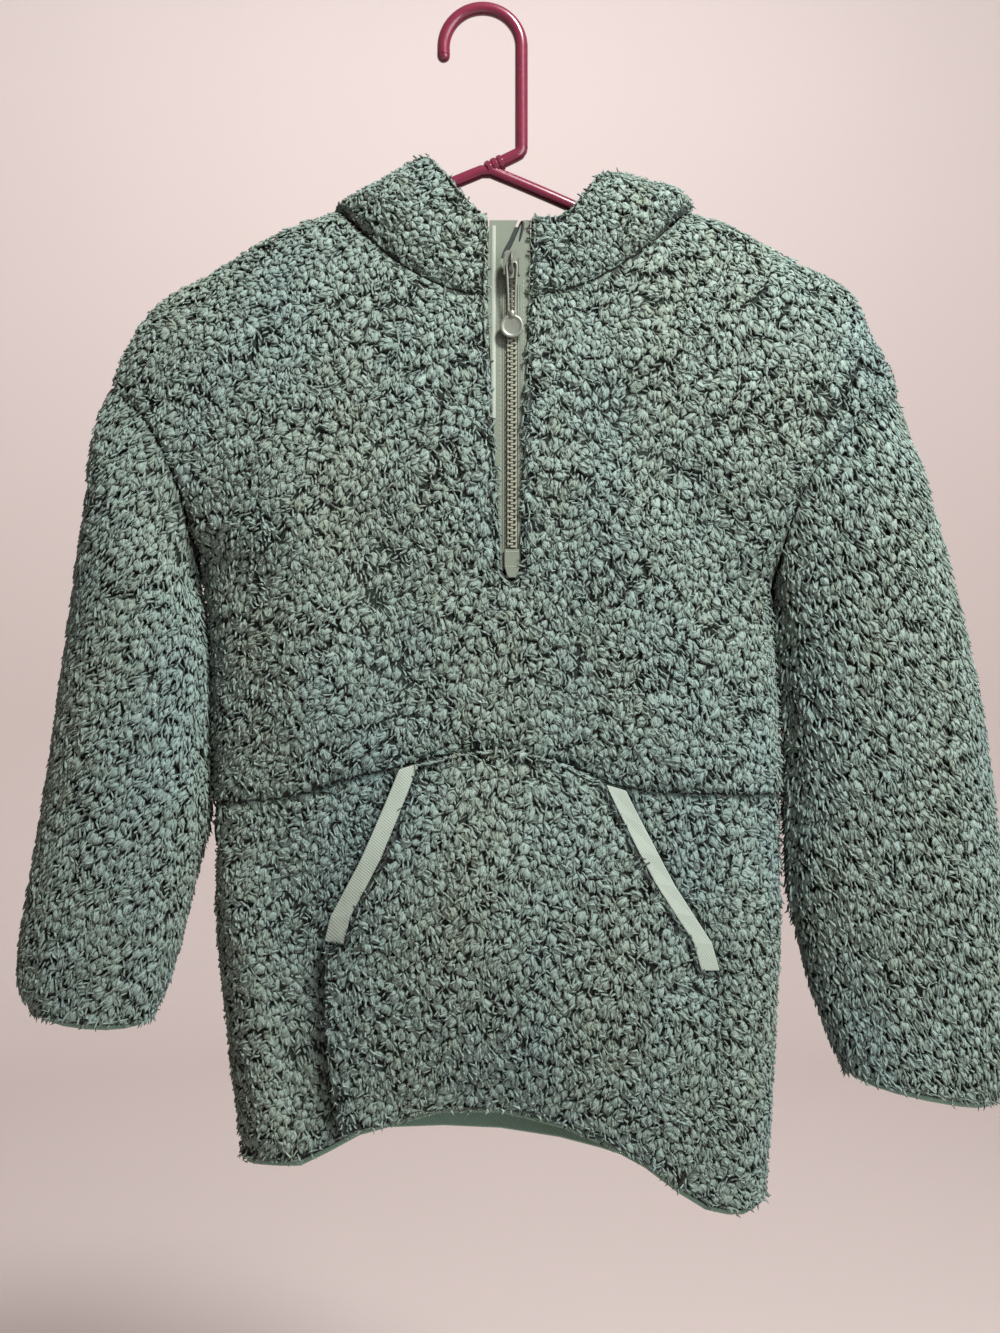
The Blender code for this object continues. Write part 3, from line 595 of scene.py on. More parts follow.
@dataclass
class Builder:
    """Gathers simple closed shapes into one mesh."""

    points: list[np.ndarray] = field(default_factory=list)
    faces: list[list[int]] = field(default_factory=list)
    count: int = 0

    def add(self, points: np.ndarray, faces: Iterable[Sequence[int]]) -> None:
        """Adds one shape.

        Args:
            points: Its vertices.
            faces: Its faces, numbered from its own first vertex.
        """
        self.points.append(np.asarray(points, float))
        self.faces += [[i + self.count for i in face] for face in faces]
        self.count += len(points)

    def tube(self, path: Sequence[Sequence[float]], radius: float, sides: int, closed: bool = False,
             flat: float = 1.0) -> None:
        """Adds a round bar along a path.

        Args:
            path: The points of its centre line.
            radius: Its radius.
            sides: How many sides it has.
            closed: Whether the path is a ring.
            flat: Its thickness along the second direction, as a share of the first.
        """
        line = np.asarray(path, float)
        before, after = np.roll(line, 1, 0), np.roll(line, -1, 0)
        if not closed:
            before[0], after[-1] = line[0], line[-1]
        heading = rounded(after - before)
        across = np.zeros_like(line)
        guide = np.array([0.0, 1.0, 0.0]) if abs(heading[0, 1]) < 0.8 else np.array([1.0, 0.0, 0.0])
        for i, direction in enumerate(heading):
            guide = guide - direction * guide.dot(direction)
            guide /= max(np.linalg.norm(guide), 1e-9)
            across[i] = guide
        over = np.cross(heading, across)
        turn = (np.arange(sides) * 2 * math.pi / sides)[None, :, None]
        spokes = across[:, None] * np.cos(turn) + over[:, None] * np.sin(turn) * flat
        rings = line[:, None] + radius * spokes
        rows = [range(i * sides, (i + 1) * sides) for i in range(len(line))]
        further = rows[1:] + rows[:1] if closed else rows[1:]
        faces = [face for low, high in zip(rows, further) for face in band(low, high)]
        self.add(rings.reshape(-1, 3), faces if closed else faces + [rows[0][::-1], rows[-1]])

    def turned(self, profile: Sequence[tuple[float, float]], centre: Sequence[float],
               axis: Sequence[float], sides: int) -> None:
        """Adds a turned shape whose profile starts and ends on its axis.

        Args:
            profile: Radius and height of each point, from one end to the other.
            centre: Where height 0 is.
            axis: The axis that height runs along.
            sides: How many sides it has.
        """
        up = Vector(axis).normalized()
        side = up.orthogonal().normalized()
        other = up.cross(side)
        points, rows = [], []
        for radius, height in profile:
            if radius < 1e-7:
                rows.append([len(points)] * sides)
                points.append(Vector(centre) + up * height)
                continue
            rows.append(list(range(len(points), len(points) + sides)))
            points += [Vector(centre) + up * height + radius * (
                side * math.cos(2 * math.pi * k / sides) + other * math.sin(2 * math.pi * k / sides))
                for k in range(sides)]
        self.add(np.array(points), [face for low, high in zip(rows, rows[1:]) for face in band(low, high)])

    def box(self, size: Sequence[float], centre: Sequence[float], bevel: float) -> None:
        """Adds a block with rounded edges.

        Args:
            size: Its three sizes.
            centre: Its middle.
            bevel: How far its edges are rounded.
        """
        tool = bmesh.new()
        bmesh.ops.create_cube(tool, size=1.0)
        bmesh.ops.scale(tool, vec=Vector(size), verts=tool.verts)
        self._bevelled(tool, bevel, Vector(centre))

    def slab(self, outline: Sequence[tuple[float, float]], front: float, thick: float, bevel: float) -> None:
        """Adds a plate that faces forward, with rounded edges.

        Args:
            outline: Its corners, across and up.
            front: Where its front face is.
            thick: Its thickness.
            bevel: How far its edges are rounded.
        """
        tool = bmesh.new()
        face = tool.faces.new([tool.verts.new((x, front, z)) for x, z in outline])
        grown = bmesh.ops.extrude_face_region(tool, geom=[face])
        for vertex in (v for v in grown["geom"] if isinstance(v, bmesh.types.BMVert)):
            vertex.co.y += thick
        self._bevelled(tool, bevel, Vector())

    def _bevelled(self, tool: bmesh.types.BMesh, bevel: float, move: Vector) -> None:
        """Rounds a shape's edges, adds it where move takes it, and frees it.

        Args:
            tool: The shape.
            bevel: How far its edges are rounded.
            move: How far it is moved.
        """
        bmesh.ops.bevel(tool, geom=tool.edges, offset=bevel, segments=2, affect="EDGES")
        tool.verts.index_update()
        points = np.array([vertex.co + move for vertex in tool.verts])
        self.add(points, [[vertex.index for vertex in face.verts] for face in tool.faces])
        tool.free()

    def finish(self, name: str, material: bpy.types.Material, slot: str, body: str = "garment",
               sharp: float = 40.0) -> bpy.types.Object:
        """Makes the object, with its faces turned outward.

        Args:
            name: The piece's name.
            material: Its material.
            slot: The record's material slot; not used.
            body: The body it rides on.
            sharp: The angle in degrees from which its edges stay sharp.

        Returns:
            The object.
        """
        made = mesh_object(name, np.concatenate(self.points), np.concatenate(self.faces),
                           np.array([len(face) for face in self.faces]), material, body)
        tool = bmesh.new()
        tool.from_mesh(made.data)
        bmesh.ops.recalc_face_normals(tool, faces=tool.faces)
        tool.to_mesh(made.data)
        tool.free()
        made.data.set_sharp_from_angle(angle=math.radians(sharp))
        LOG.info("%s: %d faces", name, len(self.faces))
        return made


# ---------------------------------------------------------------- reading a panel's solid
@dataclass
class Solid:
    """A CAD node's mesh with its shared vertices joined."""

    node: str
    points: np.ndarray = field(init=False)
    triangles: np.ndarray = field(init=False)

    def __post_init__(self) -> None:
        """Reads the node."""
        mesh = frame["nodes"][self.node].data
        mesh.calc_loop_triangles()
        raw = np.empty(len(mesh.vertices) * 3, np.float32)
        mesh.vertices.foreach_get("co", raw)
        found = np.empty(len(mesh.loop_triangles) * 3, np.int32)
        mesh.loop_triangles.foreach_get("vertices", found)
        keys = np.round(raw.reshape(-1, 3) / (0.01 * MM)).astype(np.int64)
        _, first, same = np.unique(keys, axis=0, return_index=True, return_inverse=True)
        self.points = raw.reshape(-1, 3)[first].astype(float)
        self.triangles = same.reshape(-1)[found.reshape(-1, 3)]

    def tree(self) -> BVHTree:
        """A search tree of the node's surface."""
        return BVHTree.FromPolygons([tuple(p) for p in self.points], self.triangles.tolist())

    def crosses(self) -> np.ndarray:
        """Each triangle's normal, as long as twice its area."""
        a, b, c = (self.points[self.triangles[:, i]] for i in range(3))
        return np.cross(b - a, c - a)


def scattered(crosses: np.ndarray, per_area: float,
              rng: np.random.Generator) -> tuple[np.ndarray, np.ndarray]:
    """Random places on triangles.

    Args:
        crosses: The triangles' normals, as long as twice their areas.
        per_area: How many places to the square metre.
        rng: The source of chance.

    Returns:
        Each place's triangle, and how much each corner of it weighs there.
    """
    areas = np.linalg.norm(crosses, axis=1) / 2
    number = int(areas.sum() * per_area)
    which = rng.choice(len(crosses), number, p=areas / areas.sum())
    u, v = rng.random(number), rng.random(number)
    over = u + v > 1
    u[over], v[over] = 1 - u[over], 1 - v[over]
    return which, np.stack([1 - u - v, u, v], 1)[:, :, None]


def sides_of(triangle: np.ndarray) -> list[tuple[int, int]]:
    """A triangle's three edges, by the numbers of their ends."""
    a, b, c = (int(vertex) for vertex in triangle)
    return [(a, b), (b, c), (c, a)]


@dataclass
class Skin:
    """One cloth panel: the outside, the inside and the rim of its solid, told apart by the wall between."""

    node: str
    wall: float = 8.0 * MM
    corner: float = 0.5
    solid: Solid = field(init=False)
    outer: np.ndarray = field(init=False)
    rim: np.ndarray = field(init=False)
    normals: np.ndarray = field(init=False)
    edge_points: np.ndarray = field(init=False)

    WALL_SLACK = 0.03 * MM
    STRAIGHT = 0.35
    ROUNDED = 0.75

    def __post_init__(self) -> None:
        """Sorts the solid's triangles."""
        self.solid = Solid(self.node)
        triangles, points = self.solid.triangles, self.solid.points
        crosses = self.solid.crosses()
        around: list[list[int]] = [[] for _ in points]
        for number, triangle in enumerate(triangles):
            for vertex in triangle:
                around[vertex].append(number)
        self.rim = np.array([any(self._joins_sides(a, b, around, crosses) for a, b in sides_of(triangle))
                             for triangle in triangles])
        groups = self._groups()
        centres = points[triangles].mean(1)
        away = (crosses * (centres - centres.mean(0))).sum(1)
        sides = {g: away[groups == g].sum() for g in set(groups[groups >= 0])}
        self.outer = groups == max(sides, key=sides.get)
        total = np.zeros_like(points)
        for i in range(3):
            np.add.at(total, triangles[self.outer, i], crosses[self.outer])
        self.normals = rounded(total)
        self.edge_points = self._edge()

    def _joins_sides(self, a: int, b: int, around: list[list[int]], crosses: np.ndarray) -> bool:
        """Whether an edge runs straight through the wall.

        Args:
            a: One end.
            b: The other end.
            around: The triangles round each vertex.
            crosses: The triangles' normals.

        Returns:
            True if it joins the outside to the inside.
        """
        through = self.solid.points[a] - self.solid.points[b]
        length = np.linalg.norm(through)
        if abs(length - self.wall) > self.WALL_SLACK:
            return False
        through = through / length
        ends = []
        for own, other in ((a, b), (b, a)):
            near = [n for n in around[own] if other not in self.solid.triangles[n]]
            ends.append(rounded(crosses[near].sum(0)) @ through if near else 0.0)
        return ends[0] * ends[1] < 0 and min(abs(ends[0]), abs(ends[1])) > self.STRAIGHT

    def _touching(self, which: np.ndarray) -> dict[tuple[int, int], list[int]]:
        """The numbers of the chosen triangles that meet at each edge.

        Args:
            which: Whether each triangle is chosen.

        Returns:
            The triangles' numbers by the two vertices of each edge.
        """
        touching: dict[tuple[int, int], list[int]] = {}
        for number in np.flatnonzero(which):
            for edge in sides_of(self.solid.triangles[number]):
                touching.setdefault(tuple(sorted(edge)), []).append(int(number))
        return touching

    def _groups(self) -> np.ndarray:
        """A number for each triangle that is the same all over one side of the wall.

        Returns:
            The numbers, -1 for the rim.
        """
        beside: dict[int, list[int]] = {}
        facing = rounded(self.solid.crosses())
        for numbers in self._touching(~self.rim).values():
            if len(numbers) == 2 and facing[numbers[0]] @ facing[numbers[1]] > self.corner:
                for number in numbers:
                    beside.setdefault(number, []).extend(numbers)
        groups = np.full(len(self.solid.triangles), -1)
        for start in beside:
            if groups[start] >= 0:
                continue
            waiting = [start]
            groups[start] = start
            while waiting:
                for number in beside[waiting.pop()]:
                    if groups[number] < 0:
                        groups[number] = start
                        waiting.append(number)
        return groups

    def _edge(self) -> np.ndarray:
        """Points 1 mm apart along the edge of the outside.

        Returns:
            The points.
        """
        found = []
        for (a, b), numbers in self._touching(self.outer).items():
            if len(numbers) == 1:
                start, end = self.solid.points[a], self.solid.points[b]
                steps = max(int(np.linalg.norm(end - start) / MM), 1)
                found += [start + (end - start) * i / steps for i in range(steps)]
        return np.array(found)

    def spots(self, per_area: float, rng: np.random.Generator) -> tuple[np.ndarray, np.ndarray]:
        """Random places on the outside, rounded over between its triangles' corners.

        Args:
            per_area: How many to the square metre.
            rng: The source of chance.

        Returns:
            Places and outward directions.
        """
        which, weights = scattered(self.solid.crosses()[self.outer], per_area, rng)
        triangles = self.solid.triangles[self.outer][which]
        corners, normals = self.solid.points[triangles], self.normals[triangles]
        flat = (corners * weights).sum(1)
        away = ((flat[:, None] - corners) * normals).sum(-1, keepdims=True)
        round_over = ((flat[:, None] - away * normals) * weights).sum(1)
        return flat * (1 - self.ROUNDED) + round_over * self.ROUNDED, rounded((normals * weights).sum(1))


# ---------------------------------------------------------------- pile
class Lay(Enum):
    """How a panel's locks lie."""

    GRAIN = "short rounded clumps"
    STROKE = "long strokes that follow the comb"
    CURL = "tight curls every way"


@dataclass(frozen=True)
class LockStyle:
    """One kind of pile, before chance varies it. The pile gathers into clumps, and locks lie on them."""

    clump: float
    stretch: float
    turn: float
    length: float
    radius: float
    stray: float
    curl: float


STYLES = {
    Lay.GRAIN: LockStyle(4.1 * MM, 1.7, 0.75, 5.0 * MM, 0.78 * MM, 0.45, 0.42),
    Lay.STROKE: LockStyle(3.8 * MM, 2.2, 0.34, 6.4 * MM, 0.76 * MM, 0.28, 0.26),
    Lay.CURL: LockStyle(4.1 * MM, 1.1, 1.60, 4.6 * MM, 0.80 * MM, 0.60, 0.55),
}


@dataclass
class Ripple:
    """A soft random field: sums of waves of about one length."""

    rng: np.random.Generator
    length: float
    waves: int = 7

    def __post_init__(self) -> None:
        """Draws the waves."""
        self.ways = rounded(self.rng.normal(size=(self.waves, 3)))
        self.ways *= 2 * math.pi / (self.length * self.rng.uniform(0.75, 1.35, (self.waves, 1)))
        self.shifts = self.rng.uniform(0, 2 * math.pi, self.waves)

    def at(self, points: np.ndarray) -> np.ndarray:
        """The field at each point, about -1 to 1."""
        return np.sin(points @ self.ways.T + self.shifts).sum(-1) / math.sqrt(self.waves / 2) / 1.6


def search_tree(points: np.ndarray) -> KDTree:
    """A balanced tree of points.

    Args:
        points: The points.

    Returns:
        The tree, which numbers them in their order.
    """
    tree = KDTree(len(points))
    for number, point in enumerate(points):
        tree.insert(point, number)
    tree.balance()
    return tree


def thinned(points: np.ndarray, spacing: float) -> np.ndarray:
    """Picks points so that none are closer than spacing, in the order given.

    Args:
        points: The candidates.
        spacing: The least distance.

    Returns:
        The numbers of those kept.
    """
    tree = search_tree(points)
    free = np.ones(len(points), bool)
    kept = []
    for number, point in enumerate(points):
        if free[number]:
            kept.append(number)
            for _, near, _ in tree.find_range(point, spacing):
                free[near] = False
    return np.array(kept)


def distances(points: np.ndarray, targets: np.ndarray) -> np.ndarray:
    """How far each point is from the nearest target.

    Args:
        points: The points.
        targets: The targets, which may be none.

    Returns:
        The distances, 1 for each point where there is no target.
    """
    if not len(targets):
        return np.full(len(points), 1.0)
    tree = search_tree(targets)
    return np.array([tree.find(point)[2] for point in points])


def gap_to(trees: Iterable[BVHTree], point: Sequence[float]) -> float:
    """How far a point is from the nearest of some surfaces, or 1 where none is within NEARBY."""
    found = [tree.find_nearest(point, NEARBY)[3] for tree in trees]
    return min([gap for gap in found if gap is not None], default=1.0)


@dataclass
class Cut:
    """How one panel is cut and combed, and the solids that it is made of."""

    name: str
    nodes: tuple[str, ...]
    flat: tuple[float, float]
    lay: Lay
    comb: tuple[float, float]
    coarse: float = 1.0
    cover: float = 2.5 * MM
    # The share of its colour that the pile keeps at a seam; the rest is painted shade.
    painted_seam_light: float = 0.80
    wall: float = 8.0 * MM
    pile: float = 2.6 * MM


@dataclass
class Places:
    """Where locks grow: points, outward directions, room in front, and nearness to seams and free edges."""

    points: np.ndarray
    normals: np.ndarray
    room: np.ndarray | None = None
    seam: np.ndarray | None = None
    free: np.ndarray | None = None

    def keep(self, which: np.ndarray) -> "Places":
        """The chosen ones of these places."""
        rest = [None if each is None else each[which] for each in (self.room, self.seam, self.free)]
        return Places(self.points[which], self.normals[which], *rest)


@dataclass
class SherpaPanel:
    """One panel of sherpa: its knitted ground and its pile."""

    cut: Cut
    skins: list[Skin]
    neighbours: list[BVHTree]
    covers: list[BVHTree]
    rng: np.random.Generator
    dense: Places = field(init=False)
    roots: Places = field(init=False)
    seams: np.ndarray = field(init=False)

    OVERLAP = 5
    FILL = 0.75
    SEAM_REACH = 1.6 * MM
    COVER = 15.0 * MM
    NARROW = 9.0 * MM
    CLOSE = 2.2 * MM
    SEAM_BARE = 0.7 * MM
    # How far from a seam the painted shade reaches.
    SEAM_DARK = 4.5 * MM
    SEAM_LOW = 7.0 * MM
    EDGE_LOOSE = 6.0 * MM
    CRACK = 1.6 * MM
    WANDER = 1.6 * MM
    DRIFT = 4.0 * MM
    SPACING = 2.65 * MM
    RIM_OPEN = 2.0 * MM
    SWELL = 0.32 * MM
    SCATTER = 0.22 * MM
    SHALLOW = 0.6 * MM
    SEAM_DIP = 3.0 * MM
    LIFTS = (-2.0 * MM, 0.6 * MM)
    EDGE_RISE = 0.9 * MM
    SIDE_RISE = 1.3 * MM
    NARROW_RISE = 1.2 * MM
    TIP_SCATTER = 0.36 * MM
    SIDES = 3
    # Along a lock, at its root, its belly and its tip: run, height, sway and how far the clump draws it.
    LINE = ((-0.42, -1.6 * MM, -0.15, 0.02), (0.24, -0.66 * MM, 0.40, 0.04), (0.52, -0.62 * MM, -0.35, 0.08))
    THICK = (0.80, 1.0)
    WIDE = 1.12
    LOCK_RUN = (0.0, 0.55, 1.0)
    # Painted light at a lock's root ring, belly ring and tip; the root is darker, as painted shade.
    LOCK_PAINTED_LIGHT = (0.70, 0.95, 1.0)
    ROUND = 6
    # A clump's own dome: its rays' steps, its rings' sizes, and the heights and painted light of its top and
    # rings; its outer ring is painted nearly black, as shade in the cracks between clumps.
    STEPS = np.linspace(0.8, 4.8, 14) * MM
    RING_SIZES = (0.94, 1.32)
    DOME_HEIGHTS = (-1.1 * MM, -1.3 * MM, -2.55 * MM)
    DOME_PAINTED_LIGHT = (0.98, 0.90, 0.05)
    DOME_DIP = 1.4 * MM
    DOME_LIFTS = (-3.3 * MM, -0.5 * MM)
    DOME_DRIFT = 1.2 * MM

    def build(self, ground: bpy.types.Material, pile: bpy.types.Material) -> None:
        """Makes the ground and the pile.

        Args:
            ground: The ground's material.
            pile: The pile's material.
        """
        shell = self.ground(ground)
        locks = self.locks(pile)

    def ground(self, material: bpy.types.Material) -> bpy.types.Object:
        """The panel's knitted ground, in place of its solids.

        Args:
            material: Its material.

        Returns:
            The object.
        """
        points, triangles, outside, rims, count = [], [], [], [], 0
        for skin in self.skins:
            points.append(skin.solid.points - skin.normals * self.cut.pile)
            triangles.append(skin.solid.triangles + count)
            # outside marks where the ground's material paints it nearly black as shade between the locks.
            outside.append((np.linalg.norm(skin.normals, axis=1) > 0.5).astype(float))
            rims.append(skin.rim)
            count += len(skin.solid.points)
        faces, rim = np.concatenate(triangles), np.concatenate(rims)
        made = mesh_object(self.cut.name + "_ground", np.concatenate(points), faces.ravel(),
                           np.full(len(faces), 3), material,
                           numbers={"outside": np.concatenate(outside)})
        tool = bmesh.new()
        tool.from_mesh(made.data)
        crease = tool.edges.layers.float.new("crease_edge")
        for edge in tool.edges:
            if len({bool(rim[face.index]) for face in edge.link_faces}) == 2:
                edge[crease] = 0.7
        bmesh.ops.join_triangles(tool, faces=tool.faces, angle_face_threshold=0.6,
                                 angle_shape_threshold=0.7)
        tool.to_mesh(made.data)
        tool.free()
        made.data.shade_smooth()
        smoother = made.modifiers.new("smooth", "SUBSURF")
        smoother.levels = smoother.render_levels = 1
        graph = bpy.context.evaluated_depsgraph_get()
        smooth = bpy.data.meshes.new_from_object(made.evaluated_get(graph), depsgraph=graph)
        made.modifiers.clear()
        made.data = smooth
        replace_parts(made, *self.cut.nodes)
        return made

    def _places(self) -> Places:
        """Evenly spread places on the outside and on the open parts of the rim, but none that are covered.

        Returns:
            The places where locks grow.
        """
        per_area = self.OVERLAP * self.FILL / (0.75 * self.SPACING * self.cut.coarse)**2
        found = [skin.spots(per_area, self.rng) for skin in self.skins]
        found += [self._rim_spots(skin, per_area) for skin in self.skins]
        spots = Places(np.concatenate([f[0] for f in found]), np.concatenate([f[1] for f in found]))
        spots = spots.keep(self.rng.permutation(len(spots.points)))
        spots.room = np.array([self._room(*place) for place in zip(spots.points, spots.normals)])
        self.dense = spots
        hidden = spots.points[spots.room < self.cut.cover]
        spots = spots.keep(thinned(spots.points, self.SPACING * self.cut.coarse))
        spots = spots.keep(spots.room > self.cut.cover)
        edges = np.concatenate([skin.edge_points for skin in self.skins])
        if len(self.skins) > 1:
            own = [skin.solid.tree() for skin in self.skins]
            inner = np.concatenate([[gap_to(own[:i] + own[i + 1:], point) < MM for point in skin.edge_points]
                                    for i, skin in enumerate(self.skins)])
            edges = edges[~inner.astype(bool)]
        sewn = np.array([gap_to(self.neighbours, point) < self.SEAM_REACH for point in edges])
        self.seams = np.concatenate([edges[sewn], hidden])
        spots.seam, spots.free = distances(spots.points, self.seams), distances(spots.points, edges[~sewn])
        roots = self.dense.keep(thinned(self.dense.points, 0.4 * STYLES[self.cut.lay].clump))
        self.roots = roots.keep(roots.room > self.cut.cover)
        return spots.keep(spots.seam > self.SEAM_BARE)

    def _room(self, point: np.ndarray, normal: np.ndarray) -> float:
        """How far the nearest other piece is in front of a place, up to COVER.

        Args:
            point: The place.
            normal: Outward there.

        Returns:
            The distance.
        """
        start, way = Vector(point - normal * MM), Vector(normal)
        found = [tree.ray_cast(start, way, self.COVER)[3] for tree in self.covers]
        return min([gap for gap in found if gap is not None], default=self.COVER)

    @staticmethod
    def _sideways(normals: np.ndarray) -> np.ndarray:
        """1 where the cloth faces sideways, up or down, and 0 where it faces forwards or backwards."""
        return ramped(1 - np.abs(normals[:, 1]), 0.35, 0.85)

    def _closing(self, room: np.ndarray, normals: np.ndarray) -> np.ndarray:
        """How much higher the pile stands where two pieces face each other sideways across a narrow gap."""
        return self._sideways(normals) * ((room - MM) / 2).clip(0.0, self.CLOSE) * (room < self.NARROW)

    def _seam_painted_shade(self, seam: np.ndarray) -> np.ndarray:
        """How much of its colour the pile keeps at a distance from a seam: painted shade, deepest at the
        seam.
        """
        return self.cut.painted_seam_light + (1 - self.cut.painted_seam_light) * ramped(seam, self.SEAM_BARE, self.SEAM_DARK)

    def _rim_spots(self, skin: Skin, per_area: float) -> tuple[np.ndarray, np.ndarray]:
        """Places on the parts of a rim that no other piece stands against.

        Args:
            skin: The panel's solid.
            per_area: How many to the square metre.

        Returns:
            Places and outward directions.
        """
        triangles = skin.solid.points[skin.solid.triangles]
        trees = self.neighbours + [other.solid.tree() for other in self.skins if other is not skin]
        picked = np.array([number for number in np.flatnonzero(skin.rim)
                           if gap_to(trees, triangles[number].mean(0)) > self.RIM_OPEN], int)
        if not len(picked):
            return np.zeros((0, 3)), np.zeros((0, 3))
        crosses = skin.solid.crosses()[picked]
        which, weights = scattered(crosses, per_area, self.rng)
        return (triangles[picked[which]] * weights).sum(1), rounded(crosses[which])

    def locks(self, material: bpy.types.Material) -> bpy.types.Object:
        """The panel's pile.

        Args:
            material: Its material.

        Returns:
            The object.
        """
        cut, rng, style = self.cut, self.rng, STYLES[self.cut.lay]
        spots = self._places()
        points, normals = spots.points, spots.normals
        number = len(points)

        combs = np.stack([cut.comb[0] + cut.comb[1] * points[:, 0], np.zeros(number), -np.ones(number)], 1)
        combs -= normals * (combs * normals).sum(1, keepdims=True)
        weak = np.linalg.norm(combs, axis=1) < 0.25
        combs[weak] = np.cross(normals[weak], (1.0, 0.0, 0.0))
        combs = rounded(combs)
        side = np.cross(normals, combs)

        wanders = [Ripple(rng, 9 * MM) for _ in range(3)]
        drifts = [Ripple(rng, 50 * MM) for _ in range(3)]
        lean = rounded(np.array([cut.comb[0], 0.0, -1.0]))

        def shrink(where: np.ndarray) -> np.ndarray:
            """Places moved so that clumps are irregular and longer the way that the pile is combed.

            Args:
                where: The places.

            Returns:
                The moved places.
            """
            moved = where + np.stack([wave.at(where) for wave in wanders], -1) * self.WANDER
            moved = moved + np.stack([wave.at(where) for wave in drifts], -1) * self.DRIFT
            return moved - (moved @ lean)[..., None] * lean * (1 - 1 / style.stretch)

        shrunk = shrink(points)
        roots = self.roots.points
        seeds = thinned(shrink(roots), style.clump * cut.coarse)
        tree = search_tree(shrink(roots[seeds]))
        search = search_tree(points)
        two = [tree.find_n(point, 2) for point in shrunk]
        clump = np.array([near[0][1] for near in two])
        inside = ramped(np.array([near[1][2] - near[0][2] for near in two]), 0.0, self.CRACK)
        pull = roots[seeds][clump] - points
        pull -= normals * (pull * normals).sum(1, keepdims=True)

        low = 0.62 + 0.38 * ramped(spots.seam, 0.0, self.SEAM_LOW)
        loose = 1 - ramped(spots.free, 0.0, self.EDGE_LOOSE)
        turn = 0.75 * rng.normal(size=len(seeds))[clump]
        turn = style.turn * (turn + 0.4 * Ripple(rng, 30 * MM).at(points))
        swell = self.SWELL * rng.normal(size=len(seeds))
        shade = 0.5 + 0.12 * rng.normal(size=len(seeds)) + 0.08 * Ripple(rng, 24 * MM).at(roots[seeds])
        ways = combs * np.cos(turn)[:, None] + side * np.sin(turn)[:, None]
        near = np.array([search.find(point)[1] for point in roots[seeds]])
        cells = self._cells(roots[seeds], self.roots.normals[seeds], ways[near], swell, shade, shrink, tree)

        turn += style.stray * rng.normal(size=number)
        combs, side = (combs * np.cos(turn)[:, None] + side * np.sin(turn)[:, None],
                       side * np.cos(turn)[:, None] - combs * np.sin(turn)[:, None])
        length = style.length * cut.coarse * rng.uniform(0.70, 1.30, number)
        length = length * (0.8 + 0.2 * low) * (1 + 0.45 * loose)
        radius = style.radius * cut.coarse * rng.uniform(0.75, 1.25, number)
        curl = style.curl * (rng.choice([-1.0, 1.0], len(seeds)) * rng.uniform(0.3, 1.2, len(seeds)))[clump]
        curl += style.curl * 0.4 * rng.normal(size=number)
        lift = self.SCATTER * rng.normal(size=number) + swell[clump]
        lift += (inside - 0.9) * self.SHALLOW + (low - 1) * self.SEAM_DIP
        lift = lift.clip(*self.LIFTS) + self._closing(spots.room, normals)
        tone = shade[clump] + 0.12 * rng.normal(size=number)

        def at(run: float, height: float | np.ndarray, sway: float, drawn: float) -> np.ndarray:
            """A place on each lock."""
            return (points + combs * (length * run)[:, None] + normals * (height + lift)[:, None]
                    + side * (length * curl * sway)[:, None] + pull * drawn)

        rise = self.SIDE_RISE * self._sideways(normals) * rng.uniform(0.2, 1.0, number)
        rise = self.EDGE_RISE * loose + rise + self.NARROW_RISE * (spots.room < self.NARROW)
        root, belly, tip = self.LINE
        tip_height = tip[1] + rise + self.TIP_SCATTER * rng.normal(size=number)
        line = np.stack([at(*root), at(*belly), at(tip[0], tip_height, *tip[2:])], 1)
        heading = rounded(np.stack([line[:, 1] - line[:, 0], line[:, 2] - line[:, 0]], 1))
        across = rounded(np.cross(heading, normals[:, None]))
        over = np.cross(across, heading)
        angles = np.arange(self.SIDES) * 2 * math.pi / self.SIDES + math.pi / 2
        thick = radius[:, None] * np.array(self.THICK)
        wide, deep = thick[:, :, None] * self.WIDE * np.cos(angles), thick[:, :, None] * np.sin(angles)
        rings = line[:, :2, None] + across[:, :, None] * wide[..., None] + over[:, :, None] * deep[..., None]
        vertices = np.concatenate([rings.reshape(number, -1, 3), line[:, 2:]], 1)
        # Painted shade: each lock is darker in the cracks between clumps and near seams.
        level = (0.80 + 0.20 * inside) * self._seam_painted_shade(spots.seam)
        each = (self.SIDES, self.SIDES, 1)
        painted_light = np.repeat(self.LOCK_PAINTED_LIGHT, each) * level[:, None]
        run = np.repeat(self.LOCK_RUN, each) * length[:, None]
        far = np.zeros((number, 1))
        grain = np.stack([np.concatenate([wide.reshape(number, -1), far], 1),
                          np.concatenate([deep.reshape(number, -1), far], 1), run * 0.2], -1)
        grain += rng.uniform(0, 3.0, (number, 1, 3))
        foot, top = range(self.SIDES), range(self.SIDES, 2 * self.SIDES)
        faces = band(foot, top) + band(top, [2 * self.SIDES] * self.SIDES) + [list(foot[::-1])]
        return self._pile_mesh([cells, (vertices, tone, painted_light, grain, faces)], material)

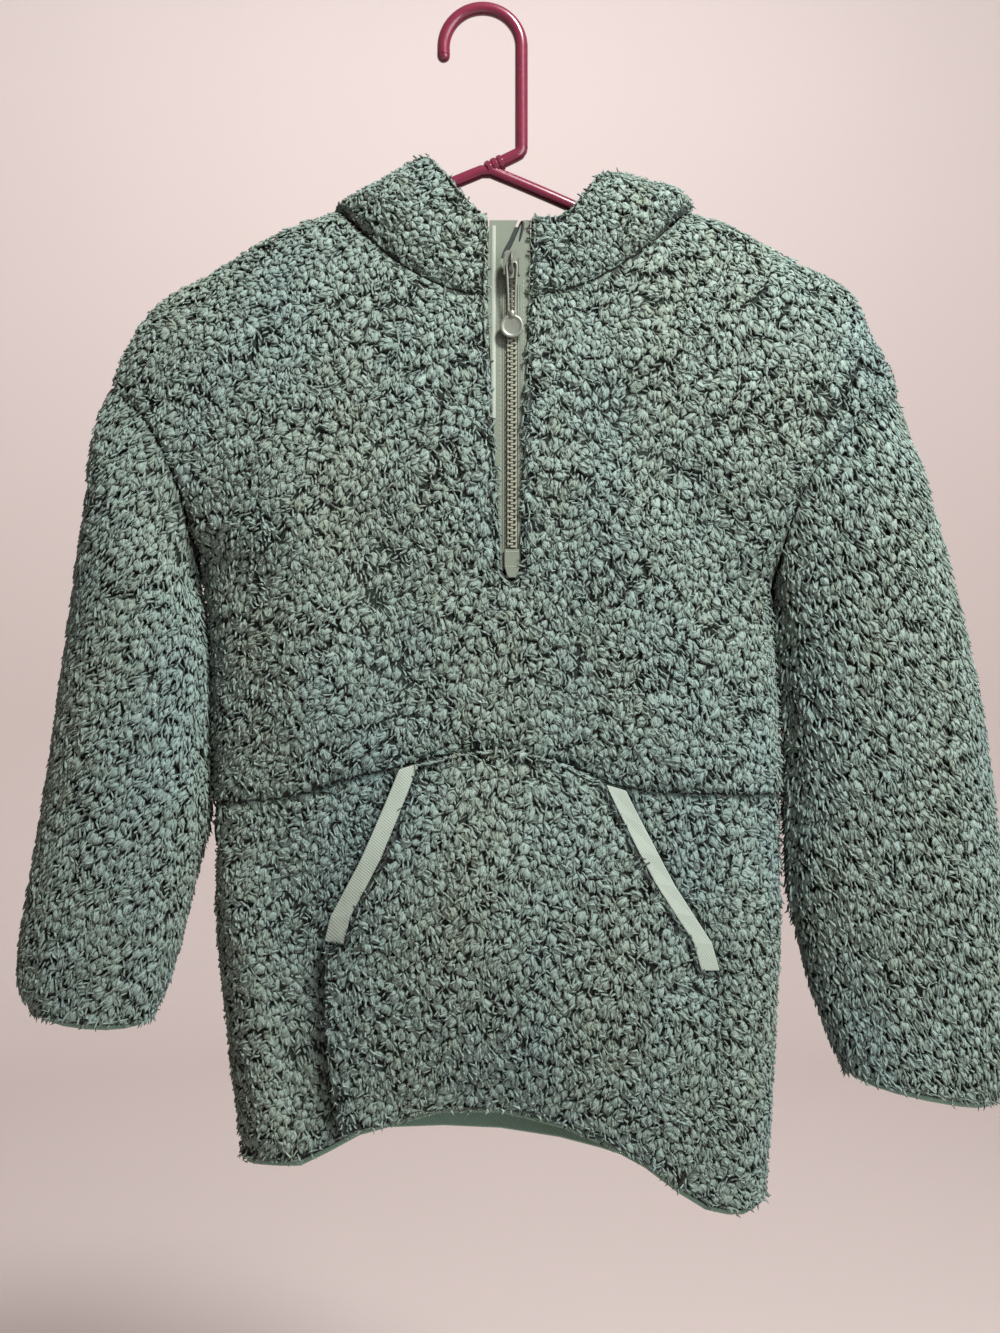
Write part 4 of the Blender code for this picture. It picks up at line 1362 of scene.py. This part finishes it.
    def _cells(self, seeds: np.ndarray, normals: np.ndarray, ways: np.ndarray, swell: np.ndarray,
               shade: np.ndarray, shrink: Field, tree: KDTree) -> tuple[object, ...]:
        """The clumps' own bodies: low domes, as wide as each clump's share of the cloth.

        Args:
            seeds: The clumps' middles.
            normals: Outward at each.
            ways: Which way each clump's pile runs.
            swell: How far each stands out more than the others.
            shade: Each clump's tone.
            shrink: Moves places to where the clumps are measured.
            tree: The clumps' middles, moved so.

        Returns:
            Vertices, tones, painted light, grain places and faces.
        """
        number, around = len(seeds), self.ROUND
        side = np.cross(normals, ways)
        turns = (np.arange(around) + self.rng.uniform(-0.3, 0.3, (number, around))) * 2 * math.pi / around
        rays = ways[:, None] * np.cos(turns)[..., None] + side[:, None] * np.sin(turns)[..., None]
        steps = self.STEPS * self.cut.coarse
        samples = shrink(seeds[:, None, None] + rays[:, :, None] * steps[:, None])
        owner = np.array([tree.find(point)[1] for point in samples.reshape(-1, 3)])
        own = owner.reshape(number, around, len(steps)) == np.arange(number)[:, None, None]
        own = np.concatenate([np.ones((number, around, 1), bool), own], 2)
        last = np.argmin(np.concatenate([own, np.zeros((number, around, 1), bool)], 2), 2) - 1
        reach = np.concatenate([self.STEPS[:1], steps])[last] + 0.15 * MM
        rings = [seeds[:, None] + rays * (reach * size)[..., None] for size in self.RING_SIZES]
        places = np.concatenate([seeds[:, None], *rings], 1).reshape(-1, 3)
        dense = search_tree(self.dense.points)
        nearest = np.array([dense.find(point)[1] for point in places])
        ground, out = self.dense.points[nearest], self.dense.normals[nearest]
        drift = places - ground
        drift -= out * (drift * out).sum(1, keepdims=True)
        near = np.linalg.norm(drift, axis=1, keepdims=True) < self.DOME_DRIFT
        ground = ground + np.where(near, drift, 0.0)
        seam = distances(ground, self.seams)
        low = (ramped(seam, 0.0, self.SEAM_LOW) - 1) * self.DOME_DIP
        each = (1, around, around)
        height = np.repeat(self.DOME_HEIGHTS, each) + swell[:, None]
        height += self.SCATTER * self.rng.normal(size=height.shape)
        height = (height.ravel() + low).clip(*self.DOME_LIFTS)
        height += self._closing(self.dense.room[nearest], out)
        vertices = (ground + out * height[:, None]).reshape(number, -1, 3)
        # Painted shade: the dome's rim is nearly black in the cracks, and the dome is darker near seams.
        painted_light = np.repeat(self.DOME_PAINTED_LIGHT, each) * self._seam_painted_shade(seam).reshape(number, -1)
        local = vertices - seeds[:, None]
        grain = np.stack([(local * side[:, None]).sum(-1), (local * normals[:, None]).sum(-1),
                          (local * ways[:, None]).sum(-1) * 0.22], -1)
        grain += self.rng.uniform(0, 3.0, (number, 1, 3))
        faces = dish(2, around) + [list(range(1 + around, 1 + 2 * around))[::-1]]
        return vertices, shade, painted_light, grain, faces

    def _pile_mesh(self, shapes: Sequence[tuple[object, ...]],
                   material: bpy.types.Material) -> bpy.types.Object:
        """Joins the clumps and the locks into one mesh.

        Args:
            shapes: For each kind, vertices, tones, painted light, grain places and the faces of one.
            material: The pile's material.

        Returns:
            The object.
        """
        corners, sizes, count = [], [], 0
        for vertices, _, _, _, faces in shapes:
            number, each = vertices.shape[:2]
            starts = count + np.arange(number)[:, None] * each
            corners.append((np.array(sum(faces, []))[None] + starts).ravel())
            sizes.append(np.tile([len(face) for face in faces], number))
            count += number * each
        tones = [np.repeat(tone, vertices.shape[1]) for vertices, tone, _, _, _ in shapes]
        # The attribute tip carries each vertex's painted light, which the pile's material turns into painted
        # shade and a painted highlight.
        made = mesh_object(self.cut.name + "_pile", np.concatenate([s[0].reshape(-1, 3) for s in shapes]),
                           np.concatenate(corners), np.concatenate(sizes), material,
                           numbers={"tip": np.concatenate([s[2].ravel() for s in shapes]),
                                    "tone": np.concatenate(tones)})
        layer = made.data.attributes.new("strand", "FLOAT_VECTOR", "POINT")
        layer.data.foreach_set("vector", np.concatenate([s[3].reshape(-1, 3) for s in shapes])
                               .astype(np.float32).ravel())
        return made


# ---------------------------------------------------------------- zip
def mirrored(half: Sequence[tuple[float, float]]) -> list[tuple[float, float]]:
    """A turned shape's whole profile, from the half above its middle."""
    return list(half) + [(radius, -height) for radius, height in half[::-1]]


@dataclass
class HalfZip:
    """The half zip: tapes, teeth, slider and its hanging pull."""

    centre_x: float = 20.6 * MM
    pitch: float = 3.2 * MM
    tooth: tuple[float, float, float] = (3.6 * MM, 1.9 * MM, 1.7 * MM)
    slider: tuple[float, float, float] = (10.0 * MM, 3.0 * MM, 17.5 * MM)
    slider_z: float = -164.0 * MM
    disc_radius: float = 7.0 * MM
    disc_thick: float = 2.4 * MM
    pull_length: float = 38.0 * MM
    wire: float = 1.6 * MM
    tab_foot: float = 5.0 * MM
    stitch_row: float = 7.0 * MM
    piping_x: float = 9.6 * MM

    CURVE_STEPS = 4
    # The slider's right half from its top down, as shares of its width and height.
    SLIDER_HALF = ((0.30, 0.50), (0.46, 0.42), (0.50, 0.18), (0.40, -0.10), (0.38, -0.36), (0.30, -0.48))
    # The bridge's line from its top down: behind the plate's front, and above the pivot, in mm.
    BRIDGE = ((0.6, 5.6), (-1.2, 5.3), (-2.6, 3.6), (-3.0, 0.8), (-3.0, -1.4), (-2.4, -3.6), (-1.2, -5.0),
              (0.6, -5.4))
    # The folded tape end's edge: across, behind and above its start, in mm.
    FOLD = ((3.2, 1.4, -19.0), (4.6, 0.2, -13.0), (6.2, -0.8, -7.0), (7.0, -0.6, -2.4), (6.2, 0.8, -0.8),
            (4.8, 1.6, -3.0), (3.4, 1.8, -8.0), (1.6, 2.0, -14.0))

    def build(self, enamel: bpy.types.Material, teeth: bpy.types.Material, tape: bpy.types.Material,
              dark: bpy.types.Material, thread: bpy.types.Material) -> None:
        """Makes the zip's parts.

        Args:
            enamel: The slider's and the pull's finish.
            teeth: The teeth's finish.
            tape: The tapes' and the end tab's finish.
            dark: The folded tape end's finish, nearly black as painted shade.
            thread: The stitching's finish.
        """
        self._teeth(teeth)
        self._slider(enamel)
        self._pull(enamel)
        self._tab(tape, thread)
        self._tape_work(tape, thread)
        self._tape_end(dark)
        for node in ("zip_tape_left", "zip_tape_right"):
            paint(node, tape)

    def _chain_line(self) -> tuple[np.ndarray, np.ndarray]:
        """Heights down the chain's solid, and where its front face is at each.

        Returns:
            The heights and the places of the front.
        """
        points = Solid("zip_chain").points
        heights = np.unique(points[:, 2].round(5))
        fronts = np.array([points[np.abs(points[:, 2] - z) < 0.02 * MM, 1].min() for z in heights])
        return heights, fronts

    def _teeth(self, material: bpy.types.Material) -> None:
        """The two rows of teeth and the bead they are moulded on.

        Args:
            material: Their finish.
        """
        heights, fronts = self._chain_line()
        made = Builder()
        width, thick, tall = self.tooth
        number = int((heights[-1] - heights[0] - tall) / (self.pitch / 2))
        for i in range(number):
            z = heights[0] + tall / 2 + i * self.pitch / 2
            y = float(np.interp(z, heights, fronts))
            side = -1 if i % 2 else 1
            head, shank = self.centre_x + side * 0.95 * MM, self.centre_x + side * 2.15 * MM
            made.box((width, thick, tall * 0.82), (head, y + thick / 2, z), 0.35 * MM)
            made.box((1.5 * MM, thick * 1.1, tall * 0.95), (shank, y + thick * 0.6, z), 0.3 * MM)
        for side in (-1, 1):
            line = [(self.centre_x + side * 2.3 * MM, float(np.interp(z, heights, fronts)) + 1.7 * MM, z)
                    for z in np.linspace(heights[0] + 0.7 * MM, heights[-1] - 0.7 * MM, 40)]
            made.tube(line, 0.65 * MM, 6)
        chain = made.finish("zip_teeth", material, "zip_chain")
        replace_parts(chain, "zip_chain")
        LOG.info("zip_teeth: %d teeth", number)

    def _slider(self, material: bpy.types.Material) -> None:
        """The slider's body: a plate with a waist, two shoulders, side flanges and the bridge.

        Args:
            material: Its finish.
        """
        low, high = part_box("zip_slider")
        width, thick, tall = self.slider
        front = low.y + 3.4 * MM
        middle = (low.z + high.z) / 2
        made = Builder()
        left = [(-x, z) for x, z in self.SLIDER_HALF[::-1]]
        outline = left[-1:] + list(self.SLIDER_HALF) + left[:-1]
        made.slab([(self.centre_x + x * width, middle + z * tall) for x, z in outline], front + 0.3 * MM,
                  thick - 0.6 * MM, 0.5 * MM)
        for side in (-1, 1):
            flange = (self.centre_x + side * width * 0.43, front + thick * 0.62, middle - tall * 0.06)
            made.box((1.3 * MM, thick + 1.2 * MM, tall * 0.62), flange, 0.4 * MM)
        pivot_z = self.slider_z + 1.0 * MM
        bridge = [(self.centre_x, front + y * MM, pivot_z + z * MM) for y, z in self.BRIDGE]
        made.tube(bridge, 0.8 * MM, 10, flat=1.6)
        slider = made.finish("zip_slider_body", material, "zip_metal")
        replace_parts(slider, "zip_slider")

    def _pull(self, material: bpy.types.Material) -> None:
        """The pull: a wire loop through the bridge and a disc with a raised rim.

        Args:
            material: Its finish.
        """
        pivot = Vector(frame["joints"][0]["pos_m"])
        foot = pivot.z - self.pull_length + self.disc_radius - 1.0 * MM
        made = Builder()
        right = [(1.7, foot - 1.5 * MM), (1.9, foot + 3 * MM), (2.3, (pivot.z + foot) / 2)]
        right += [(2.9, pivot.z - 5 * MM), (3.0, pivot.z - 2.2 * MM), (2.6, pivot.z - 0.7 * MM)]
        right.append((1.6, pivot.z))
        path = [(pivot.x + x * MM, pivot.y, z) for x, z in right] + [
            (pivot.x - x * MM, pivot.y, z) for x, z in right[::-1]]
        made.tube(self._rounded(path), self.wire / 2, 10)
        centre = (pivot.x, pivot.y, pivot.z - self.pull_length)
        radius, half = self.disc_radius, self.disc_thick / 2
        face = [(0.0, half * 0.62), (radius * 0.62, half * 0.62), (radius * 0.72, half * 0.70),
                (radius * 0.78, half * 0.98), (radius * 0.90, half), (radius * 0.975, half * 0.82),
                (radius, half * 0.45)]
        made.turned(mirrored(face), centre, (0.0, -1.0, 0.0), 48)
        collar = [(0.0, 1.8 * MM), (1.9 * MM, 1.8 * MM), (2.4 * MM, 0.9 * MM)]
        made.turned(mirrored(collar), (pivot.x, pivot.y, foot + 1.2 * MM), (0.0, 0.0, 1.0), 20)
        pull = made.finish("zip_pull_tab", material, "zip_metal", body="pull")
        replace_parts(pull, "zip_pull")

    def _rounded(self, path: Sequence[Sequence[float]]) -> np.ndarray:
        """A smooth line through the points of path.

        Args:
            path: The points.

        Returns:
            The line's points.
        """
        points = np.asarray(path, float)
        padded = np.concatenate([2 * points[:1] - points[1:2], points, 2 * points[-1:] - points[-2:-1]])
        line = []
        for a, b, c, d in zip(padded, padded[1:], padded[2:], padded[3:]):
            for t in np.arange(self.CURVE_STEPS) / self.CURVE_STEPS:
                line.append(0.5 * (2 * b + (c - a) * t + (2 * a - 5 * b + 4 * c - d) * t**2
                                   + (3 * b - a - 3 * c + d) * t**3))
        return np.array(line + [points[-1]])

    def _tab(self, tape: bpy.types.Material, thread: bpy.types.Material) -> None:
        """The end tab, which tapers at its foot, with its two bars of stitching.

        Args:
            tape: The tab's finish.
            thread: The stitching's finish.
        """
        low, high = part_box("zip_end_tab")
        middle, half = (low.x + high.x) / 2, (high.x - low.x) / 2
        shoulder, foot = low.z + 1.5 * MM, low.z - self.tab_foot
        outline = ((-1.0, high.z), (1.0, high.z), (1.0, shoulder), (0.66, foot + 0.8 * MM), (0.50, foot),
                   (-0.42, foot), (-0.60, foot + 0.8 * MM), (-1.0, shoulder))
        made = Builder()
        made.slab([(middle + x * half, z) for x, z in outline], low.y - 0.2 * MM, 1.7 * MM, 0.4 * MM)
        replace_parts(made.finish("zip_tab", tape, "zip_tape"), "zip_end_tab")
        made = Builder()
        for share in (0.12, 0.85):
            y, z = low.y - 0.25 * MM, low.z + (high.z - low.z) * share
            for i in range(7):
                x = low.x + (high.x - low.x) * (i + 1) / 8
                self._stitch(made, (x, y, z), 0.3 * MM, 0.3 * MM, 0.5 * MM, 0.28 * MM)
        made.finish("zip_tab_stitches", thread, "zip_tape")

    @staticmethod
    def _stitch(made: Builder, middle: Place, out: float, sunk: float, half: float, thick: float) -> None:
        """Adds one stitch, whose ends lie sideways of, behind, and below or above its middle."""
        x, y, z = middle
        made.tube([(x - out, y + sunk, z - half), middle, (x + out, y + sunk, z + half)], thick, 5)

    def _tape_work(self, tape: bpy.types.Material, thread: bpy.types.Material) -> None:
        """Cords woven beside the chain, a piped edge down the left tape, and rows of stitching.

        Args:
            tape: The cords' finish.
            thread: The stitching's and the piping's finish.
        """
        cords, piping, stitches = Builder(), Builder(), Builder()
        for side, node in ((-1, "zip_tape_left"), (1, "zip_tape_right")):
            tree = Solid(node).tree()
            for out, radius in ((3.9 * MM, 0.55 * MM), (5.2 * MM, 0.35 * MM)):
                cords.tube(self._down(tree, self.centre_x + side * out, -174 * MM, -333 * MM, 40), radius, 6)
            for x, y, z in self._down(tree, self.centre_x + side * self.stitch_row, -172 * MM, -331 * MM, 54):
                self._stitch(stitches, (x, y - 0.15 * MM, z), 0.0, 0.35 * MM, 1.0 * MM, 0.26 * MM)
            if side < 0:
                piping.tube(self._down(tree, self.piping_x, -138 * MM, -296 * MM, 40), 0.55 * MM, 8, flat=2.6)
        cords.finish("zip_tape_cords", tape, "zip_tape")
        stitches.finish("zip_tape_stitches", thread, "zip_tape")
        piping.finish("zip_tape_piping", thread, "zip_tape")

    def _tape_end(self, dark: bpy.types.Material) -> None:
        """The right tape's top end, folded under and across behind the gap above the slider, finished nearly
        black as painted shade in the gap.

        Args:
            dark: Its finish, nearly black as painted shade.
        """
        tree = Solid("zip_tape_right").tree()
        line = self._down(tree, self.centre_x + 6 * MM, -134.9 * MM, -158 * MM, 8)
        made = Builder()
        made.tube([(x - 4.8 * MM + 0.20 * (z + 0.147), y + 2.2 * MM, z) for x, y, z in line], 0.45 * MM, 8,
                  flat=14.0)
        edge = [(self.centre_x + x * MM, line[0][1] + y * MM, -134.6 * MM + z * MM) for x, y, z in self.FOLD]
        made.tube(self._rounded(edge), 0.7 * MM, 8)
        made.finish("zip_tape_end", dark, "zip_tape")

    @staticmethod
    def _down(tree: BVHTree, x: float, high: float, low: float, number: int) -> list[Place]:
        """Places down a surface's front face.

        Args:
            tree: The surface.
            x: How far across.
            high: The first height.
            low: The last height.
            number: How many.

        Returns:
            Those places where the surface is.
        """
        found = [tree.ray_cast(Vector((x, -0.3, z)), Vector((0.0, 1.0, 0.0)))[0]
                 for z in np.linspace(high, low, number)]
        return [tuple(place) for place in found if place is not None]


def paint(node: str, material: bpy.types.Material) -> bpy.types.Object:
    """Gives a CAD node its finish.

    Args:
        node: The node.
        material: Its material.

    Returns:
        The node's object.
    """
    made = frame["nodes"][node]
    made.data.materials.clear()
    made.data.materials.append(material)
    LOG.info("%s: %s", node, material.name)
    return made


# ---------------------------------------------------------------- hanger
@dataclass
class PlasticHanger:
    """One moulded tubular hanger: hook, stem, mitred bend, two sloping arms and a bar."""

    tube: float = 8.0 * MM
    hook_radius: float = 24.1 * MM
    hook_centre: tuple[float, float] = (2.75 * MM, -19.8 * MM)
    hook_tip_z: float = -25.0 * MM
    bend_z: float = -84.9 * MM
    apex: tuple[float, float] = (5.0 * MM, -95.5 * MM)
    reach: float = 186.0 * MM
    slope: float = 0.40
    curve: float = 0.45
    bar_z: float = -209.0 * MM
    collar: tuple[float, float] = (4.8 * MM, 11.0 * MM)
    sides: int = 24

    # The collar's upper half from its middle up: a place on its length and a share of its radius.
    RINGS = ((0.10, 1.0), (0.14, 0.86), (0.22, 0.86), (0.26, 1.0), (0.46, 1.0), (0.5, 0.84))
    # The bend from an arm down to the bar: out from and above the arm's end, in mm.
    ARM_END = ((2.6, -1.9), (4.2, -4.6), (5.2, -8.0), (4.9, -12.0))

    def build(self, plastic: bpy.types.Material) -> None:
        """Makes the hanger.

        Args:
            plastic: Its finish.
        """
        made = Builder()
        centre = np.array([self.hook_centre[0], 0.0, self.hook_centre[1]])
        hook = [(centre[0] - self.hook_radius, 0.0, self.hook_tip_z)]
        hook += [tuple(centre + self.hook_radius * np.array([math.cos(t), 0.0, math.sin(t)]))
                 for t in np.linspace(math.pi, 0.0, 41)]
        bend = np.array([centre[0] + self.hook_radius, 0.0, self.bend_z])
        apex = np.array([self.apex[0], 0.0, self.apex[1]])
        to_apex = rounded(apex - bend)
        hook += [(bend[0], 0.0, -50 * MM), (bend[0], 0.0, self.bend_z + 3 * MM)]
        half = self.tube / 2
        made.tube(hook, half, self.sides)
        corner = [tuple(bend + (0, 0, 3.2 * MM)), tuple(bend + (-0.3 * MM, 0, 1.4 * MM)),
                  tuple(bend + to_apex * 1.6 * MM + (-0.2 * MM, 0, 0)), tuple(bend + to_apex * 4 * MM),
                  tuple(bend + (apex - bend) * 0.6), tuple(apex)]
        made.tube(corner, half, self.sides)
        dome = [(half * math.sin(a), half * math.cos(a)) for a in np.linspace(0.2, math.pi / 2, 7)]
        dome = [(0.0, half), *dome, (half, -1 * MM), (0.0, -1 * MM)]
        made.turned(dome, hook[0], (0.0, 0.0, -1.0), self.sides)
        radius, length = self.collar
        spot = apex - to_apex * 6.0 * MM
        upper = [(radius * size, length * share) for share, size in self.RINGS]
        whole = [(0.0, -upper[-1][1]), *((out, -up) for out, up in upper[::-1]), *upper, (0.0, upper[-1][1])]
        made.turned(whole, tuple(spot), tuple(to_apex), 28)
        made.tube(self._triangle(), half, self.sides, closed=True)
        hanger = made.finish("hanger_tube", plastic, "hanger_plastic", sharp=50.0)
        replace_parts(hanger, "hanger")

    def _arm(self, reach: float) -> Place:
        """The middle of the tube at a distance to either side of the apex."""
        x, z = self.apex
        return (x + reach, 0.0, z - self.slope * abs(reach) - self.curve * reach**2)

    def _triangle(self) -> list[Place]:
        """The closed line of the arms and the bar.

        Returns:
            The line's points.
        """
        arm = [self._arm(reach) for reach in np.linspace(3 * MM, self.reach, 40)]
        end_x, _, end_z = arm[-1]
        right = arm + [(end_x + x * MM, 0.0, end_z + z * MM) for x, z in self.ARM_END]
        right += [(end_x + 2.2 * MM, 0.0, end_z + (self.bar_z - end_z) * 0.86),
                  (end_x - 1.4 * MM, 0.0, self.bar_z + 0.9 * MM), (end_x - 4.5 * MM, 0.0, self.bar_z)]
        right += [(x, 0.0, self.bar_z) for x in np.linspace(end_x - 12 * MM, self.apex[0] + 4 * MM, 12)]
        return right + [(2 * self.apex[0] - x, 0.0, z) for x, _, z in right[::-1]]


# ---------------------------------------------------------------- trims
@dataclass
class Trims:
    """Bindings: the knitted ones of the hem and cuffs, and the smooth ones of the pocket openings."""

    knit_edge: float = 0.5 * MM
    smooth_edge: float = 0.7 * MM

    def build(self, knit: bpy.types.Material, smooth: bpy.types.Material) -> None:
        """Gives the bindings their finishes and rounds their edges.

        Args:
            knit: The hem's and cuffs' finish.
            smooth: The pocket openings' finish.
        """
        for node in ("hem_binding", "cuff_binding_left", "cuff_binding_right"):
            self._soften(paint(node, knit), self.knit_edge)
        for node in ("pocket_binding_left", "pocket_binding_right"):
            self._soften(paint(node, smooth), self.smooth_edge)

    @staticmethod
    def _soften(made: bpy.types.Object, size: float) -> None:
        """Joins a node's shared vertices and rounds its edges.

        Args:
            made: The node's object.
            size: How far the edges are rounded.
        """
        join = made.modifiers.new("join", "WELD")
        join.merge_threshold = 0.01 * MM
        edges = made.modifiers.new("edges", "BEVEL")
        edges.width = size
        edges.segments = 2
        edges.limit_method = "ANGLE"
        edges.angle_limit = math.radians(35)
        edges.harden_normals = False


# ---------------------------------------------------------------- stage
@dataclass(frozen=True)
class Lamp:
    """A soft round lamp: where it is, its width, its power in watts, its colour and what it points at."""

    name: str
    place: Place
    size: float
    power: float
    colour: Colour
    aim: Place

    def build(self) -> None:
        """Makes the lamp."""
        data = bpy.data.lights.new(self.name, "AREA")
        data.shape = "DISK"
        data.size, data.energy, data.color = self.size, self.power, self.colour
        lamp = bpy.data.objects.new(self.name, data)
        lamp.location = self.place
        lamp.rotation_euler = (Vector(self.aim) - Vector(self.place)).to_track_quat("-Z", "Y").to_euler()
        bpy.context.scene.collection.objects.link(lamp)


CHEST = (0.02, 0.0, -0.38)
LAMPS = (
    Lamp("key", (0.62, -0.90, 0.98), 0.36, 70.0, (1.0, 0.97, 0.94), CHEST),
    Lamp("fill", (1.1, -1.1, -0.1), 1.2, 16.0, (0.93, 0.97, 1.0), CHEST),
    Lamp("backdrop", (0.0, 1.1, 1.7), 1.0, 40.0, (1.0, 0.98, 0.98), (0.0, 3.2, 1.1)),
)


@dataclass(frozen=True)
class Studio:
    """A pale round floor that curves up far out, the lamps, a dim sky, and the camera.

    The camera's focal length and the picture's height are both in the same pixels.
    """

    floor_z: float = -1.35
    flat: float = 2.4
    curve: float = 0.8
    wall: tuple[float, float] = (2.4, 5.0)
    spokes: int = 48
    lamps: tuple[Lamp, ...] = LAMPS
    sky: Colour = (0.95, 0.97, 1.0)
    sky_power: float = 0.27
    eye: Place = (13.6 * MM, -0.810, -0.403)
    sensor: float = 36.0
    focal_px: float = 1308.0
    height_px: float = 1333.0
    backdrop: PaleFloor = PaleFloor()

    def build(self) -> None:
        """Makes the stage."""
        self._floor()
        for lamp in self.lamps:
            lamp.build()
        world = bpy.data.worlds.new("studio")
        world.use_nodes = True
        sky = world.node_tree.nodes["Background"].inputs
        sky[0].default_value, sky[1].default_value = (*self.sky, 1.0), self.sky_power
        bpy.context.scene.world = world
        self._camera()

    def _floor(self) -> None:
        """Makes the floor and its curve up, as rings round its middle."""
        rings = [(self.flat / 2, 0.0), (self.flat, 0.0)]
        rings += [(self.flat + self.curve * math.sin(t), self.curve - self.curve * math.cos(t))
                  for t in np.linspace(0.2, math.pi / 2, 8)]
        rings += [(self.flat + self.curve, height) for height in self.wall]
        points = [(0.0, 0.0, self.floor_z)]
        turns = [2 * math.pi * k / self.spokes for k in range(self.spokes)]
        for radius, height in rings:
            points += [(radius * math.cos(t), radius * math.sin(t), self.floor_z + height) for t in turns]
        mesh = bpy.data.meshes.new("floor")
        mesh.from_pydata(points, [], dish(len(rings), self.spokes))
        mesh.shade_smooth()
        mesh.materials.append(self.backdrop.material())
        floor = bpy.data.objects.new("floor", mesh)
        bpy.context.scene.collection.objects.link(floor)
        LOG.info("floor: %d faces", len(mesh.polygons))

    def _camera(self) -> None:
        """Makes the camera."""
        data = bpy.data.cameras.new("camera")
        data.sensor_fit = "AUTO"
        data.sensor_width = self.sensor
        data.lens = self.sensor * self.focal_px / self.height_px
        data.clip_start, data.clip_end = 0.01, 20.0
        camera = bpy.data.objects.new("camera", data)
        camera.location = self.eye
        camera.rotation_euler = (math.pi / 2, 0.0, 0.0)
        bpy.context.scene.collection.objects.link(camera)
        bpy.context.scene.camera = camera
        bpy.context.scene.view_settings.view_transform = "Standard"


# ---------------------------------------------------------------- the garment
DOWN = (-0.06, 3.0)
CUTS = (
    Cut("front_upper", ("front_upper",), (0.49, 0.37), Lay.GRAIN, DOWN),
    Cut("front_lower", ("front_lower",), (0.37, 0.27), Lay.GRAIN, DOWN, cover=14 * MM, painted_seam_light=0.4),
    Cut("back", ("back",), (0.50, 0.61), Lay.GRAIN, DOWN, coarse=1.35),
    Cut("pocket", ("pocket",), (0.236, 0.266), Lay.GRAIN, DOWN, wall=6.0 * MM, painted_seam_light=0.4),
    Cut("sleeve_left", ("sleeve_left_upper", "sleeve_left_lower"), (0.30, 0.41), Lay.STROKE, (-0.6, 0.0)),
    Cut("sleeve_right", ("sleeve_right_upper", "sleeve_right_lower"), (0.32, 0.47), Lay.STROKE, (0.42, 0.0)),
    *(Cut(node, (node,), (0.26, 0.31), Lay.CURL, (-0.1, 3.0)) for node in ("hood_left", "hood_right")),
)


@dataclass
class Pullover:
    """The cloth of the garment."""

    cuts: tuple[Cut, ...] = CUTS
    seed: int = 11

    def build(self) -> None:
        """Makes every panel of sherpa."""
        ground, pile = KnitGround().material(), SherpaPile().material()
        trees = {name: Solid(name).tree() for name in frame["nodes"] if name not in ("hanger", "zip_pull")}
        sherpa = [node for cut in self.cuts for node in cut.nodes]
        for number, cut in enumerate(self.cuts):
            skins = [Skin(node, cut.wall) for node in cut.nodes]
            neighbours = [trees[name] for name in sherpa if name not in cut.nodes]
            covers = [tree for name, tree in trees.items() if name not in cut.nodes]
            rng = np.random.default_rng(self.seed + number)
            SherpaPanel(cut, skins, neighbours, covers, rng).build(ground, pile)


def main() -> None:
    """Builds the scene."""
    logging.basicConfig(level=logging.INFO, format="%(name)s: %(message)s")
    Pullover().build()
    thread = Thread().material()
    enamel = Moulded("slider_enamel", (0.20, 0.22, 0.185), (0.11, 0.125, 0.105), 0.42, 0.1, metal=0.5)
    teeth = Moulded("zip_teeth_plastic", (0.265, 0.280, 0.218), (0.150, 0.160, 0.122), 0.36)
    # Painted shade: the folded tape end is nearly black, as the gap above the slider is in shade.
    shaded = WovenTape((0.014, 0.019, 0.018), (0.034, 0.044, 0.042), "folded_tape_painted_shade")
    HalfZip().build(enamel.material(), teeth.material(), WovenTape().material(), shaded.material(), thread)
    Trims().build(KnitBinding().material(), SmoothBinding().material())
    PlasticHanger().build(Moulded("burgundy_plastic", (0.135, 0.012, 0.033), (0.095, 0.008, 0.024), 0.24,
                                  0.5, 40.0).material())
    Studio().build()


if __name__ == "__main__":
    main()
